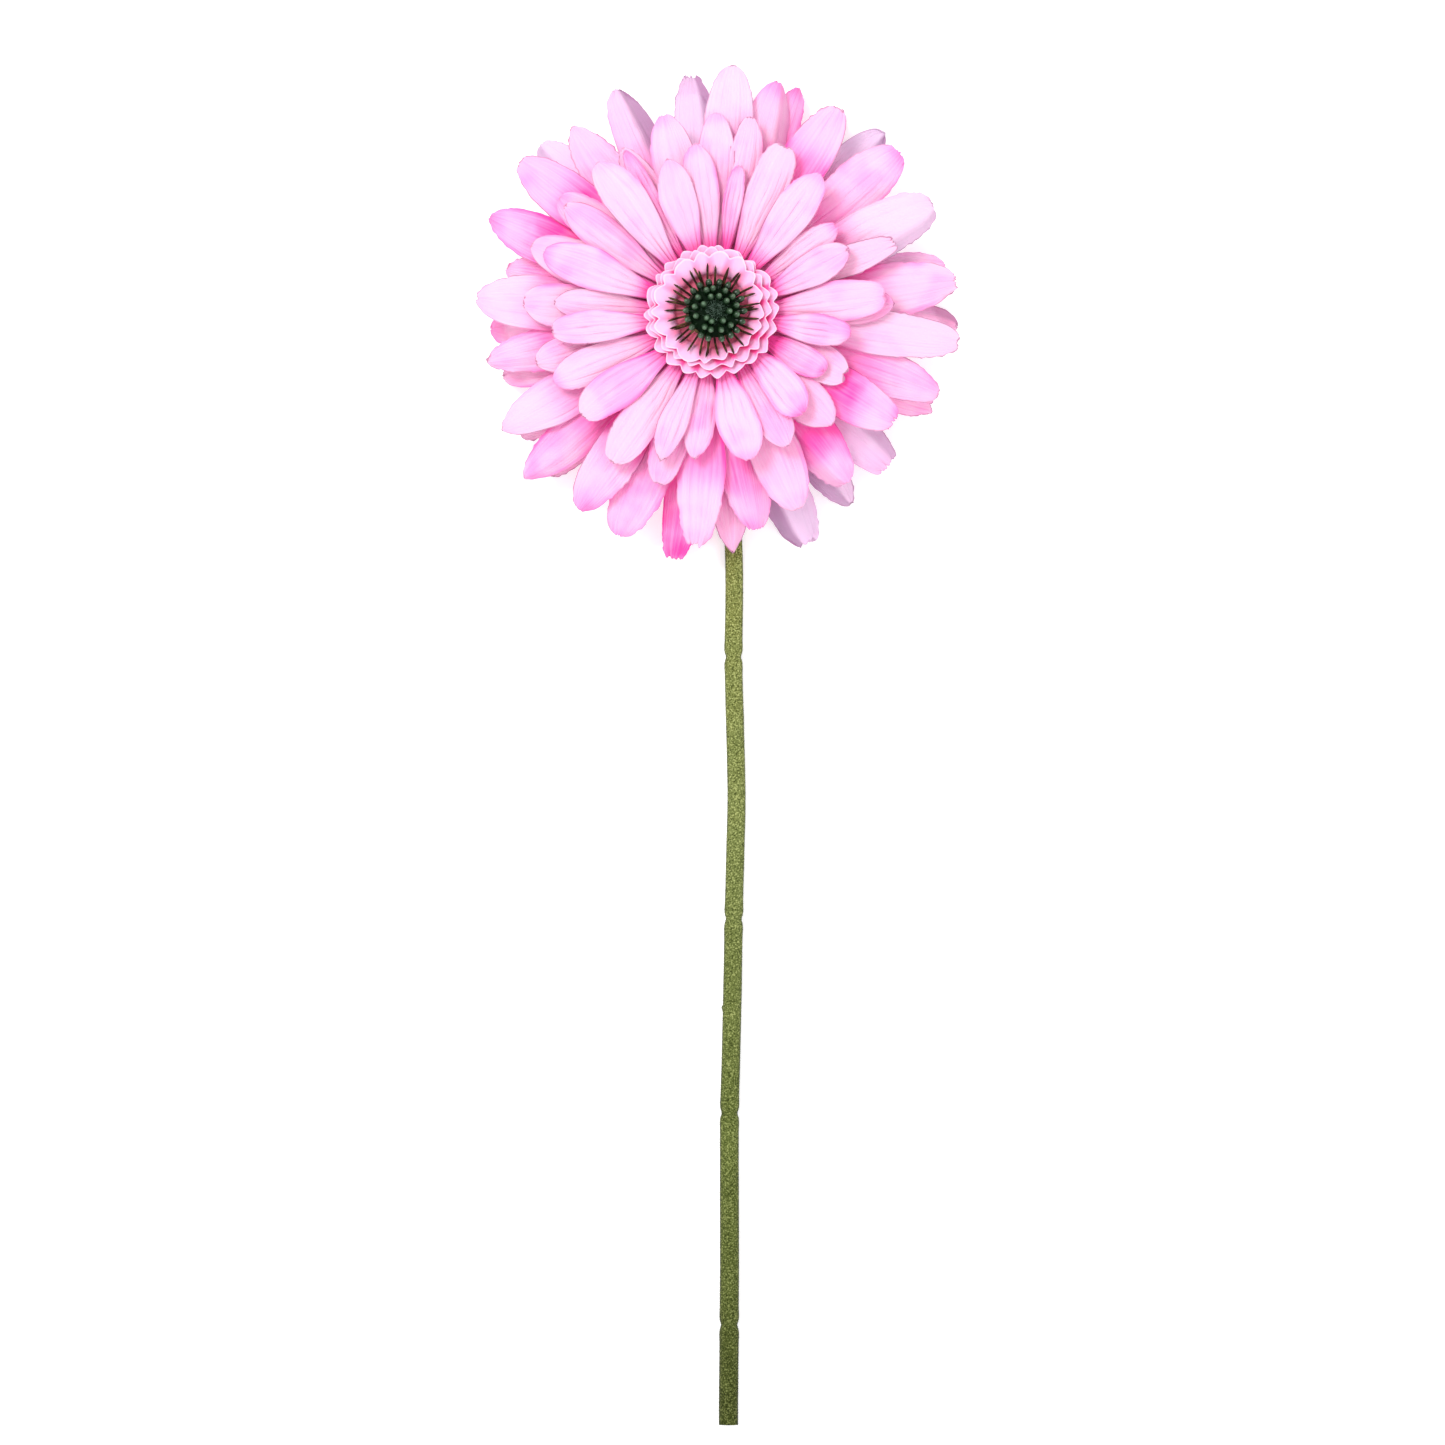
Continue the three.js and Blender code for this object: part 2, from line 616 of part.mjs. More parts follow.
const stemLine = stemCurve();
const sleeve = toSolid(bar(stemLine, STEM_RADIUS, STEM_SIDES, { pinched: true }))
  .subtract(toSolid(bar(stemLine, STEM_BORE_RADIUS, WIRE_SIDES, { extra: 2 })));
addPiece('stem_sleeve', sleeve, STEM_COLOR, 0.95);
addPiece('stem_wire', toSolid(bar(stemLine, WIRE_RADIUS, WIRE_SIDES)), WIRE_COLOR, 0.4, 1);
addPiece('calyx', calyx(), CALYX_COLOR, 0.6);
addPiece('stamen_ring', stamenRing(), STAMEN_COLOR, 0.5);
addPiece('centre_button', button(), BUTTON_COLOR, 0.45);

// The frame's origin is the middle of the whole object's footprint, on the surface.
const box = new THREE.Box3().setFromObject(gerbera);
const footprint = box.getCenter(new THREE.Vector3());
gerbera.position.set(-footprint.x, -footprint.y, -box.min.z);

export default gerbera;
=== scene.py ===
"""The finish of an artificial gerbera stem: pressed fabric petals, ruffled collars, a
moulded centre and a flocked stem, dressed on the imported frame."""

import math

import bpy
from mathutils import Matrix, Vector, noise


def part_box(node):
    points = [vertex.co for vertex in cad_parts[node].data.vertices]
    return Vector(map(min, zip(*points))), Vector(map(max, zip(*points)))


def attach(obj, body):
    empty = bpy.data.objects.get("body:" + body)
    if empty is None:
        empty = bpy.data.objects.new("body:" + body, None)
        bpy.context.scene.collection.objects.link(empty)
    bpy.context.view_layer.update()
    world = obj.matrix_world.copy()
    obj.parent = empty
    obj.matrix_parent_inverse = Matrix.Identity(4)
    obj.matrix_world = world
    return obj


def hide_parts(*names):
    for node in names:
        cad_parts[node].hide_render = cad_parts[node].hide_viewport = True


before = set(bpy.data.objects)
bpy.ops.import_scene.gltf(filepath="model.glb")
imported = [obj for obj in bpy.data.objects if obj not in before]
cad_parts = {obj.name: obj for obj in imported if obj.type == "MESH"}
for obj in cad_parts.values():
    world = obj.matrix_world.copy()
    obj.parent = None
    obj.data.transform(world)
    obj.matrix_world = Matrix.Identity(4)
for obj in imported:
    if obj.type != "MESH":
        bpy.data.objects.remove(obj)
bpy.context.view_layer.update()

# ---- places and sizes, in millimetres from the bloom's axis ------------------------

MM = 0.001
calyx_low, calyx_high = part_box("calyx")
HUB = Vector(((calyx_low.x + calyx_high.x) / 2, (calyx_low.y + calyx_high.y) / 2, 0))

CLOTH = 0.34  # thickness of the pressed fabric
COLLAR_CLOTH = 0.22
DISC_RADIUS = 11
DISC_SIDES = 60
PEG_HOLE_RADIUS = 1.65
FIRST_SHEET_HEIGHT = 17.3
SHEET_PITCH = 1.1
OUTER_SHEETS = 3  # the lowest sheets, whose petals show the most wear
SHEET_SEED_STEP = 31.7  # keeps the noise of every petal apart
PETAL_SEED_STEP = 3.3

PETAL_ROOT_RADIUS = 9.6
PETAL_ROOT_WIDTH = 0.26  # a share of the petal's full width, as the tip's is
PETAL_WIDEST = 0.68  # a share of its length
PETAL_TIP_WIDTH = 0.13
PETAL_COLUMNS = 18
BODY_ROWS = 24
TIP_ROWS = 24
FRAY = 0.36  # how ragged the cut edge is near a tip
OUTER_FRAY = 0.75  # and along the tips of the three outer sheets
EDGE_WAVE = 1.0  # how far the long edges wave up and down
LOWEST_CLOTH = 0.5  # no petal's middle surface dips lower, before its crumple
TIP_ROLL = 0.8  # one edge of an outer tip turns up, the other down
TIP_SKEW = 1.3  # a tip leans to one side
HANGING_LIFT = -8  # the tips of petals that hang lower than this are left plain
FOLD = 3.0  # how far one side of a petal without a sharp fold may hang down at its edge
FOLD_SEED_BAND = 31
FOLD_SHARES = {0: 0.8, 1: 0.5, 2: 0.35}  # of that drop, in the lowest bands of seeds
LEAST_FOLD_SHARE = 0.1  # and in all others
PLAIN_CREASE = 0.12  # where the side of such a petal starts to hang, from its middle
FOLDED = {  # (sheet, petal): (side, where its crease is from the middle, drop at the edge)
    (0, 1): (-1, 0.1, 4.5), (0, 2): (-1, 0.3, 4), (0, 4): (-1, 0.3, 4.5), (0, 5): (-1, 0.15, 6.5),
    (0, 6): (1, 0.1, 3), (0, 11): (-1, 0.2, 3.5), (0, 14): (1, 0.2, 1.6), (0, 15): (-1, 0.2, 5),
    (0, 16): (-1, 0, 4), (0, 17): (1, 0.3, 3), (0, 19): (1, 0.35, 3),
    (1, 2): (-1, 0.35, 2.5), (1, 9): (-1, 0.3, 2), (2, 0): (-1, 0.4, 2),
}
TORN = {  # (sheet, petal): width of a tip that is torn off squarely
    (0, 4): 0.3, (0, 13): 0.35, (0, 15): 0.3, (0, 17): 0.5, (0, 18): 0.45, (1, 0): 0.3,
    (1, 1): 0.4, (1, 8): 0.3, (2, 7): 0.3, (2, 9): 0.35, (3, 1): 0.35, (4, 1): 0.35,
}
PRESSED_LINES = 4.0  # across each petal
ROOT_CHANNEL = 0.45  # the root's edges stand up by this much
ROOT_DYE_AND_SHADE_FADE = (14, 21.5)  # the distances from the axis between which the root's dye and painted shade fade
OUTER_DYE_AND_SHADE_FADE_START = 37  # the same for the outer sheets, where it reaches further out, as painted shade near where they come out from under the inner petals
OUTER_DYE_AND_SHADE_FADE_LENGTH = 12
OUTER_DYE_AND_SHADE_RISE = (20, 32)  # and grows stronger between these distances

COLLAR_FLOOR_RADIUS = 8.5
# bend and edge: (distance from the axis, height above the collar's floor); steep: the
# edge's distance on the steep side.
COLLARS = [
    {"name": "collar_outer", "waves": 22, "bend": (11.4, 0.3), "edge": (15.8, 3.0), "steep": 15.4},
    {"name": "collar_middle", "waves": 20, "bend": (10.2, 0.3), "edge": (15.0, 3.2), "steep": 13.5},
    {"name": "collar_inner", "waves": 18, "bend": (8.9, 0.25), "edge": (14.2, 3.3), "steep": 11.5},
]
COLLAR_STEEP_SIDE = -50  # degrees; here the rims stand steeper and wave more

STEM_RADIUS = 2.12  # under the flock, below the bloom
STEM_FOOT_RADIUS = 2.32  # and at the cut end
STEM_HEIGHT = 2.2255  # of its middle above the table
STEM_BORE = 1.1
STEM_SIDES = 28
STEM_STEP = 0.6
STEM_TOP = 14.1
NECK_BEND_RADIUS = 8
STEM_LINE = [  # (x, y) of its middle, from the cut end up to the neck
    (3.96, -266.6), (3.96, -262), (4.1, -246), (4.2, -224.6), (4.2, -192.2), (4.5, -180),
    (4.9, -163), (5.2, -145.4), (5.64, -127.4), (5.88, -116.6), (5.52, -98.6), (5.16, -84.2),
    (5.28, -59), (4.2, -42), (2.4, -26), (0.8, -14),
]
NECK_ANGLES = [0, 20, 40, 60, 80, 90]  # degrees round the neck's bend
PINCH_PLACES = [-242.6, -191.8, -145.2, -82.3]  # along Y
PINCH_DEPTH = 0.36
NUB_PLACE = -166.6
UNDERSIDE_FLAT = 0.02  # the sleeve's underside lies flat at this height
BARE_BELOW = 0.35  # no flock grows where the sleeve lies on the table
FLOCK_LENGTH = 0.26
FLOCK_RADIUS = 0.042
FLOCK_PER_SQUARE_MM = 4.4

CALYX_BOTTOM = 9.8
CALYX_TOP = 16.6
CALYX_PROFILE = [  # (radius, height), as in the other turned parts
    (0, 14.5), (2.72, 14.5), (2.72, CALYX_BOTTOM + 0.1), (2.9, CALYX_BOTTOM),
    (3.7, CALYX_BOTTOM), (3.95, 10.0), (4.1, 10.6), (4.4, 11.4), (5.2, 12.5), (6.2, 13.6),
    (7.4, 14.7), (8.5, 15.5), (9.1, 16.1), (9.2, 16.5), (9.1, CALYX_TOP), (0, CALYX_TOP),
]
CALYX_RIB = 0.018  # a share of its radius
SEPAL_COUNT = 12
SEPAL_ROOT = 7
SEPAL_REACH = 13.2
SEPAL_HEIGHT = 16.0
SEPAL_HALF_WIDTH = 1.75
SEPAL_HALF_THICKNESS = 0.36
SEPAL_GROOVE = 0.12  # along the underside of each
SEPAL_COLUMNS = 8
SEPAL_ROWS = 12

STAMEN_MIDDLE = 27.25
STAMEN_RING_PROFILE = [
    (0, 26.9), (1.1, 26.9), (6.1, 26.9), (6.3, 27.05), (6.3, 27.45), (6.1, 27.6), (0, 27.6),
]
STAMEN_SETS = [  # the turns are in radians
    {"Count": 30, "Reach": 11.1 * MM, "Rise": 3.0 * MM, "Start Turn": 0.0, "Seed": 3},
    {"Count": 7, "Reach": 10.4 * MM, "Rise": 3.5 * MM, "Start Turn": 0.12, "Seed": 21},
]

BUTTON_BOTTOM = 28.1
BUTTON_OFFSET = 0.6  # along X, from its peg
BUTTON_LEAN = 13  # degrees
BUTTON_LEAN_TOWARDS = 48  # degrees, from the X axis
PEG_RADIUS = 1.3
PEG_BOTTOM = 15
BUTTON_PROFILE = [  # (radius, height above its underside)
    (0, 0), (5.2, 0), (6.2, 0.25), (6.6, 0.8), (6.6, 1.3), (6.2, 2), (5.5, 2.45), (4.6, 2.8),
    (3.6, 3.05), (2.6, 3.1), (1.6, 2.95), (0, 2.7),
]
KNOB_RINGS = [  # heights above the button's underside, tilts in degrees
    {"count": 18, "radius": 6.45, "height": 1.7, "tilt": 62},
    {"count": 13, "radius": 4.75, "height": 2.8, "tilt": 34},
    {"count": 8, "radius": 3.05, "height": 3.3, "tilt": 16},
]
KNOB_RADIUS = 0.84
KNOB_LENGTH = 1.7
FUZZ_MIDDLE = 2.75  # the height of the fuzz's seat above the button's underside
FUZZ_RINGS = [(1.4, 2.95), (2.6, 3.12), (3.6, 3.05)]  # (radius, height)
FUZZ_SIDES = 24

FRAME_WIDTH = 346.8  # what the camera sees across, at the stem
CAMERA_HEIGHT = 4000
CAMERA_AIM = (1.09, 5.56)  # in the frame's own coordinates
TABLE_HALF_SIZE = 10.0  # metres

# What all the pressed polyester has in common: a little light goes into it, and it has
# a faint sheen.
CLOTH_LOOK = {
    "Subsurface_Weight": 0.12, "Subsurface_Scale": 0.001, "Subsurface_Radius": (1.0, 0.5, 0.7),
    "Sheen_Weight": 0.12, "Sheen_Roughness": 0.45,
}

# heights: a blade's height at 10, 20, 30, 40, 50 and 60 mm from the axis.
# petals: (angle, reach, width, lift of the tip, sweep of the root, cup, lean, tone);
# tone runs from -1, a lilac petal, to 1, a strong pink one.
SHEETS = [
    {
        "name": "petal_sheet_1_back",
        "heights": [17.3, 17.3, 16.4, 13.8, 9.6, 4.5],
        "petals": [
            (11.5, 56.9, 10.5, -1, 0, 0.5, 0, -0.3),
            (46.5, 60.2, 11, -2.5, 0, 0.6, 0.4, -0.9),
            (57.5, 58, 8.5, -1.5, 0, 0.5, 0, 0),
            (69, 58.3, 8.5, -1.5, 0, 0.4, 0, 0.9),
            (95, 57.6, 10.5, -10, 0, 0.2, 0, -0.7),
            (113.5, 58.5, 10.8, -1.5, 0, 0.7, 0.4, -0.6),
            (134.5, 57.6, 11, -3, 0, 0.4, 0, -0.9),
            (168, 50.4, 10, -2, 0, 0.5, 0, 0),
            (184, 53.8, 11, -12.2, 0, 0.2, 0, 0.2),
            (197.5, 52.3, 10.5, -3, 0, 0.6, 0.3, 0.3),
            (212.5, 54.4, 9.2, -1, 0, 0.5, 0, 0),
            (224, 55.2, 9, -2, 0, 0.5, 0, 0),
            (234, 54.4, 9, -1, 0, 0.5, -0.4, 0.2),
            (261.5, 59.5, 9.5, -2, 0, 0.8, 0.4, 0.9),
            (275, 57.6, 10, 2, 0, 0.5, 0, 0.8),
            (291.5, 60, 12, -2, 0, 0.6, -0.5, -0.7),
            (306, 56.9, 10.5, -1, 0, 0.5, -0.4, -0.6),
            (319.5, 55.9, 11.5, -2, 0, 0.5, 0, -0.7),
            (337, 57.6, 11, -3, 0, 0.5, 0.4, 0.5),
            (357, 59.3, 11.5, -8.9, 0, 0.2, 0, 0.1),
        ],
    },
    {
        "name": "petal_sheet_2_outer",
        "heights": [18.4, 18.8, 18.8, 17.2, 14.2, 10.5],
        "petals": [
            (7, 59, 13, 0, 0, -0.5, -0.4, -0.1),
            (41, 59, 13, 0.8, 0, -0.5, 0, 0.1),
            (73.5, 57.6, 11, -0.8, 0, -0.5, 0.4, 0.2),
            (127.5, 55.7, 11.5, 0, 0, -0.5, 0, 0.6),
            (157, 58, 11.8, 1, 0, -0.3, 0, 0.6),
            (192.5, 55.4, 10.5, -0.5, 0, -0.4, 0, 0),
            (221.5, 60, 11.2, 0.5, 0, -0.5, 0, 0.2),
            (247.5, 58, 12.6, 0, 0, -0.5, 0.4, 0.1),
            (281.5, 52.8, 11.5, 0, 0, -0.5, 0, 0),
            (309, 52, 12, 0.8, 0, -0.5, 0, -0.1),
            (341, 57.6, 11, 0, 0, 0.2, 0.3, 0.5),
        ],
    },
    {
        "name": "petal_sheet_3_outer",
        "heights": [19.5, 20.1, 20.6, 19.6, 17, 13.5],
        "petals": [
            (26, 59, 13.5, 0.6, 0, -0.6, 0, -0.8),
            (58.5, 57.6, 11.5, 0, 0, -0.5, 0, 0.4),
            (85, 59.5, 12, 1, 0, -0.5, 0.3, -0.5),
            (141.5, 58.5, 12, 1.2, 0, -0.5, 0, 1),
            (177, 56.9, 13.5, 0, 0, -0.5, 0, -0.3),
            (209, 57.6, 11.5, 0.5, 0, -0.5, 0, -0.3),
            (236, 56.9, 12, 0, 0, -0.5, -0.3, 0.1),
            (266.5, 55.7, 11.5, 0.5, 0, -0.5, 0, 0),
            (294, 51.6, 12.5, 0, 0, -0.5, 0, 0),
            (328.5, 50.9, 12, 1, 0, -0.6, 0.3, 0.15),
            (353.5, 60, 11, 1.2, 0, -0.6, 0, -0.3),
        ],
    },
    {
        "name": "petal_sheet_4_middle",
        "heights": [20.6, 21.6, 22.8, 22, 19.6, 17],
        "petals": [
            (3, 43.5, 9.5, 0, 0, -0.4, 0, 0.3),
            (21, 46.5, 7.5, 0, 0, 0.3, 0, 0),
            (77.5, 47.5, 8, 0.5, 0, -0.4, 0, 0.3),
            (88.5, 47.5, 9, 0, 0, -0.4, 0, -0.1),
            (104, 48.8, 10.5, 0.8, 0, -0.4, 0, 0),
            (118, 44.5, 8, 0, 0, -0.4, 0.4, 0.1),
            (143, 45.5, 10, 0, 0, -0.4, 0, 0.1),
            (160, 46, 11, 0, 0, -0.4, 0, 0),
            (178, 45, 11, 0.5, 0, -0.4, 0, 0),
            (196, 44, 10, 0, 0, -0.4, 0, 0.1),
            (252, 43.3, 9, 0, 0, -0.4, 0, 0.3),
            (316, 39.3, 10.5, 0.3, 0, -0.4, 0, 0.4),
            (335, 35.8, 9.5, 0.3, 0, -0.4, 0, 0.2),
        ],
    },
    {
        "name": "petal_sheet_5_inner",
        "heights": [21.7, 23.2, 25.3, 24.6, 22.2, 20],
        "petals": [
            (5, 41.8, 9.8, 0.4, -3, -0.5, 0, 0),
            (35, 36, 6.6, 0.5, -4, -0.4, 0, 0.1),
            (66.5, 43.5, 9.3, 0, -3.5, -0.5, 0, 0),
            (80, 35.5, 4.5, 0, -4, 0.4, 0, 0.2),
            (95.5, 40.2, 8.5, 0.4, -5, -0.4, 0, 0.1),
            (119, 43.7, 4.8, -0.5, -1, 0.5, 0, 0.2),
            (144, 43.2, 9, 0, 3, -0.5, 0, 0.1),
            (177, 37.8, 8, 0, 0, -0.4, 0, -0.1),
            (203.5, 41.5, 9.4, 0.4, 2.5, -0.5, 0, 0),
            (236.5, 43, 9.8, 0, 1, -0.5, 0, 0),
            (264, 35.4, 7.5, 0, 2, -0.4, 0, 0.3),
            (299.5, 36.8, 9, 0.5, 0, -0.5, 0, 0),
            (332, 31, 7.5, 0, 2, -0.4, 0, 0.2),
        ],
    },
    {
        "name": "petal_sheet_6_inner",
        "heights": [22.8, 25, 27.1, 26.7, 24.5, 22],
        "petals": [
            (24, 36.4, 8.5, 0, -7, -0.5, 0, 0),
            (51.5, 41.6, 9.8, 0.6, -4, -0.5, 0, 0),
            (107, 37.8, 8.8, 0, -2, -0.5, 0, 0.1),
            (127, 44.9, 9.8, 0.5, 3, -0.5, 0, 0),
            (160, 42.5, 9.8, 0, 3, -0.5, 0, 0.1),
            (187, 38.5, 8, 0.5, 3, -0.4, 0, -0.1),
            (218, 39.7, 9.8, 0, 5, -0.5, 0, 0),
            (250, 37.8, 7, 0.4, 5, -0.4, 0, 0.2),
            (283.5, 36.4, 10.2, 0.5, -3, -0.5, 0, -0.1),
            (313, 32.8, 9.4, 0.3, 3, -0.5, 0, 0.2),
            (350, 33.5, 7.5, 0, 0, -0.4, 0, 0),
        ],
    },
]

# ---- small helpers ------------------------------------------------------------------


def lerp(a, b, share):
    return a + (b - a) * share


def clamp(value, low=0.0, high=1.0):
    return max(low, min(high, value))


def smooth_step(low, high, value):
    share = clamp((value - low) / (high - low))
    return share * share * (3 - 2 * share)


def rough(*place):
    """Even noise between about -1 and 1."""
    return noise.noise(Vector((*place, 0.0, 0.0)[:3]))


def to_frame(x, y, z):
    """A point in millimetres from the bloom's axis, in the frame's metres."""
    return (HUB.x + x * MM, HUB.y + y * MM, z * MM)


def smooth_at(values, step):
    """A smooth curve through evenly spaced values; step counts from 0 at the first."""
    last = len(values) - 1
    i = int(clamp(math.floor(step), 0, last - 1))
    f = clamp(step, 0, last) - i
    p0 = values[max(i - 1, 0)]
    p1 = values[i]
    p2 = values[i + 1]
    p3 = values[min(i + 2, last)]
    bend = 2 * p0 - 5 * p1 + 4 * p2 - p3
    twist = 3 * p1 - p0 - 3 * p2 + p3
    return p1 + 0.5 * f * (p2 - p0 + f * (bend + f * twist))


def mesh_from(name, points, faces, **attributes):
    """A mesh in the frame, with one value of each attribute for every point."""
    mesh = bpy.data.meshes.new(name)
    mesh.from_pydata([to_frame(*point) for point in points], [], faces)
    for label, values in attributes.items():
        mesh.attributes.new(label, "FLOAT", "POINT").data.foreach_set("value", values)
    mesh.update()
    return mesh


def lathe(name, profile, segments, rib=0.0, ribs=0, middle=0.0):
    """A turned body; the profile starts and ends on the axis."""
    points = [(middle, 0, profile[0][1])]
    for radius, height in profile[1:-1]:
        for i in range(segments):
            angle = 2 * math.pi * i / segments
            r = radius * (1 + rib * math.cos(ribs * angle))
            points.append((middle + r * math.cos(angle), r * math.sin(angle), height))
    points.append((middle, 0, profile[-1][1]))
    rows = len(profile) - 2
    top = len(points) - 1
    faces = []
    for i in range(segments):
        n = (i + 1) % segments
        faces.append((0, 1 + n, 1 + i))
        faces.append((top, top - segments + i, top - segments + n))
        for j in range(rows - 1):
            a = 1 + j * segments
            faces.append((a + i, a + n, a + segments + n, a + segments + i))
    return mesh_from(name, points, faces)


def put(name, mesh, material=None):
    piece = bpy.data.objects.new(name, mesh)
    bpy.context.scene.collection.objects.link(piece)
    if material:
        mesh.materials.clear()
        mesh.materials.append(material)
    return piece


def bake(piece, crease=50):
    """Turns what the piece's modifiers make into its own plain mesh."""
    graph = bpy.context.evaluated_depsgraph_get()
    made = bpy.data.meshes.new_from_object(piece.evaluated_get(graph), depsgraph=graph)
    piece.modifiers.clear()
    piece.data = made
    made.polygons.foreach_set("use_smooth", [True] * len(made.polygons))
    made.set_sharp_from_angle(angle=math.radians(crease))
    return piece


def grow(name, tree, values, start=None, wall=0.0, crease=50):
    """A piece that a Geometry Nodes tree grows, from the mesh `start` if there is one."""
    piece = put(name, start or bpy.data.meshes.new(name))
    modifier = piece.modifiers.new(tree.name, "NODES")
    modifier.node_group = tree
    for item in tree.interface.items_tree:
        if item.in_out == "INPUT" and item.name in values:
            modifier[item.identifier] = values[item.name]
    if wall:
        thicken = piece.modifiers.new("cloth thickness", "SOLIDIFY")
        thicken.thickness = wall
        thicken.offset = 0
    return bake(piece, crease)


def dress(piece, slot, *nodes):
    """The piece rides on the stem's one body, in place of the nodes it stands for."""
    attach(piece, "root")
    if nodes:
        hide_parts(*nodes)
    return piece


# ---- node trees ---------------------------------------------------------------------


def new_tree(name, kind, inputs, outputs):
    """A node group with named inputs and outputs: {name: (socket type, default)}."""
    tree = bpy.data.node_groups.new(name, kind)
    for label, (socket, value) in inputs.items():
        made = tree.interface.new_socket(name=label, in_out="INPUT", socket_type=socket)
        if value is not None:
            made.default_value = value
    for label, socket in outputs.items():
        tree.interface.new_socket(name=label, in_out="OUTPUT", socket_type=socket)
    return tree, tree.nodes.new("NodeGroupInput").outputs, tree.nodes.new("NodeGroupOutput")


def wire(tree, socket, value):
    if isinstance(value, bpy.types.NodeSocket):
        tree.links.new(value, socket)
    else:
        socket.default_value = value


def add(tree, kind, settings=None, inputs=None):
    """A node with its settings and its inputs, each a value or another node's output."""
    made = tree.nodes.new(kind)
    for field, value in (settings or {}).items():
        setattr(made, field, value)
    for label, value in (inputs or {}).items():
        wire(tree, made.inputs[label], value)
    return made


def calc(tree, operation, *values, clamped=False):
    made = add(tree, "ShaderNodeMath", {"operation": operation, "use_clamp": clamped})
    for socket, value in zip(made.inputs, values):
        wire(tree, socket, value)
    return made.outputs[0]


def vectors(tree, operation, *values, scale=None):
    made = add(tree, "ShaderNodeVectorMath", {"operation": operation})
    for socket, value in zip(made.inputs, values):
        wire(tree, socket, value)
    if scale is not None:
        wire(tree, made.inputs["Scale"], scale)
    return made.outputs["Value" if operation == "LENGTH" else "Vector"]


def ramp_between(tree, value, low, high, to_low=0.0, to_high=1.0):
    """The value's smooth share between low and high."""
    made = add(tree, "ShaderNodeMapRange", {"interpolation_type": "SMOOTHSTEP"})
    for label, amount in (
        ("Value", value), ("From Min", low), ("From Max", high),
        ("To Min", to_low), ("To Max", to_high),
    ):
        wire(tree, made.inputs[label], amount)
    return made.outputs["Result"]


def cloud(tree, place, scale, detail=2.0, seed=None):
    """Noise from 0 to 1 over a place."""
    settings = {"noise_dimensions": "3D" if seed is None else "4D"}
    inputs = {"Vector": place, "Scale": scale, "Detail": detail}
    if seed is not None:
        inputs["W"] = seed
    made = add(tree, "ShaderNodeTexNoise", settings, inputs)
    return made.outputs[0]


def xyz(tree, x=0.0, y=0.0, z=0.0):
    return add(tree, "ShaderNodeCombineXYZ", None, {"X": x, "Y": y, "Z": z}).outputs[0]


def stored(tree, label):
    """A vertex value kept on the mesh, for a Geometry Nodes tree."""
    made = add(tree, "GeometryNodeInputNamedAttribute", {"data_type": "FLOAT"}, {"Name": label})
    return made.outputs["Attribute"]


def finish_tree(tree, output, geometry, material):
    """Ends a Geometry Nodes tree: real geometry with its material on."""
    real = add(tree, "GeometryNodeRealizeInstances", None, {"Geometry": geometry})
    painted = add(
        tree, "GeometryNodeSetMaterial", None,
        {"Geometry": real.outputs[0], "Material": material},
    )
    tree.links.new(painted.outputs[0], output.inputs[0])


# ---- trees that grow the pieces -------------------------------------------------------


def pressed_line_turn(tree, along, across, petal, lines):
    """Where a place lies between one pressed line and the next, as an angle."""
    drift = calc(tree, "SUBTRACT", cloud(tree, xyz(tree, along), 4.0, 1.0, petal), 0.5)
    place = calc(tree, "ADD", across, calc(tree, "MULTIPLY", drift, 0.35))
    varied = cloud(tree, xyz(tree, calc(tree, "MULTIPLY", petal, 3.7)), 1.0, 0.0)
    lines = calc(tree, "MULTIPLY", lines, calc(tree, "MULTIPLY_ADD", varied, 1.2, 0.4))
    return calc(tree, "MULTIPLY", place, calc(tree, "MULTIPLY", lines, math.pi))


def pressed_petals_tree():
    """Presses lengthwise lines and a little crumple into flat-cut petals."""
    tree, given, output = new_tree(
        "pressed petals", "GeometryNodeTree",
        {
            "Petals": ("NodeSocketGeometry", None),
            "Line Depth": ("NodeSocketFloat", 0.00012),
            "Lines": ("NodeSocketFloat", PRESSED_LINES),
            "Crumple Height": ("NodeSocketFloat", 0.0002),
            "Crumple Scale": ("NodeSocketFloat", 160.0),
            "Fabric": ("NodeSocketMaterial", None),
        },
        {"Geometry": "NodeSocketGeometry"},
    )
    along = stored(tree, "along")
    across = stored(tree, "across")
    petal = stored(tree, "petal_seed")
    place = add(tree, "GeometryNodeInputPosition").outputs[0]
    turn = pressed_line_turn(tree, along, across, petal, given["Lines"])
    wave = calc(tree, "MAXIMUM", calc(tree, "COSINE", turn), 0.0)
    groove = calc(tree, "POWER", wave, 2.0)
    root_fade = ramp_between(tree, along, 0.02, 0.2)
    tip_fade = ramp_between(tree, along, 0.72, 0.97, 1.0, 0.0)
    rim_fade = ramp_between(tree, calc(tree, "ABSOLUTE", across), 0.8, 0.98, 1.0, 0.0)
    depth = calc(tree, "MULTIPLY", groove, calc(tree, "MULTIPLY", root_fade, tip_fade))
    depth = calc(tree, "MULTIPLY", depth, rim_fade)
    pressed = calc(tree, "MULTIPLY", depth, calc(tree, "MULTIPLY", given["Line Depth"], -1.0))
    crumple = calc(tree, "SUBTRACT", cloud(tree, place, given["Crumple Scale"], 2.0, petal), 0.5)
    crumple = calc(tree, "MULTIPLY", crumple, given["Crumple Height"])
    crumple = calc(tree, "MULTIPLY", crumple, root_fade)
    height = calc(tree, "ADD", pressed, crumple)
    normal = add(tree, "GeometryNodeInputNormal").outputs[0]
    moved = add(
        tree, "GeometryNodeSetPosition", None,
        {"Geometry": given["Petals"], "Offset": vectors(tree, "SCALE", normal, scale=height)},
    )
    finish_tree(tree, output, moved.outputs[0], given["Fabric"])
    return tree


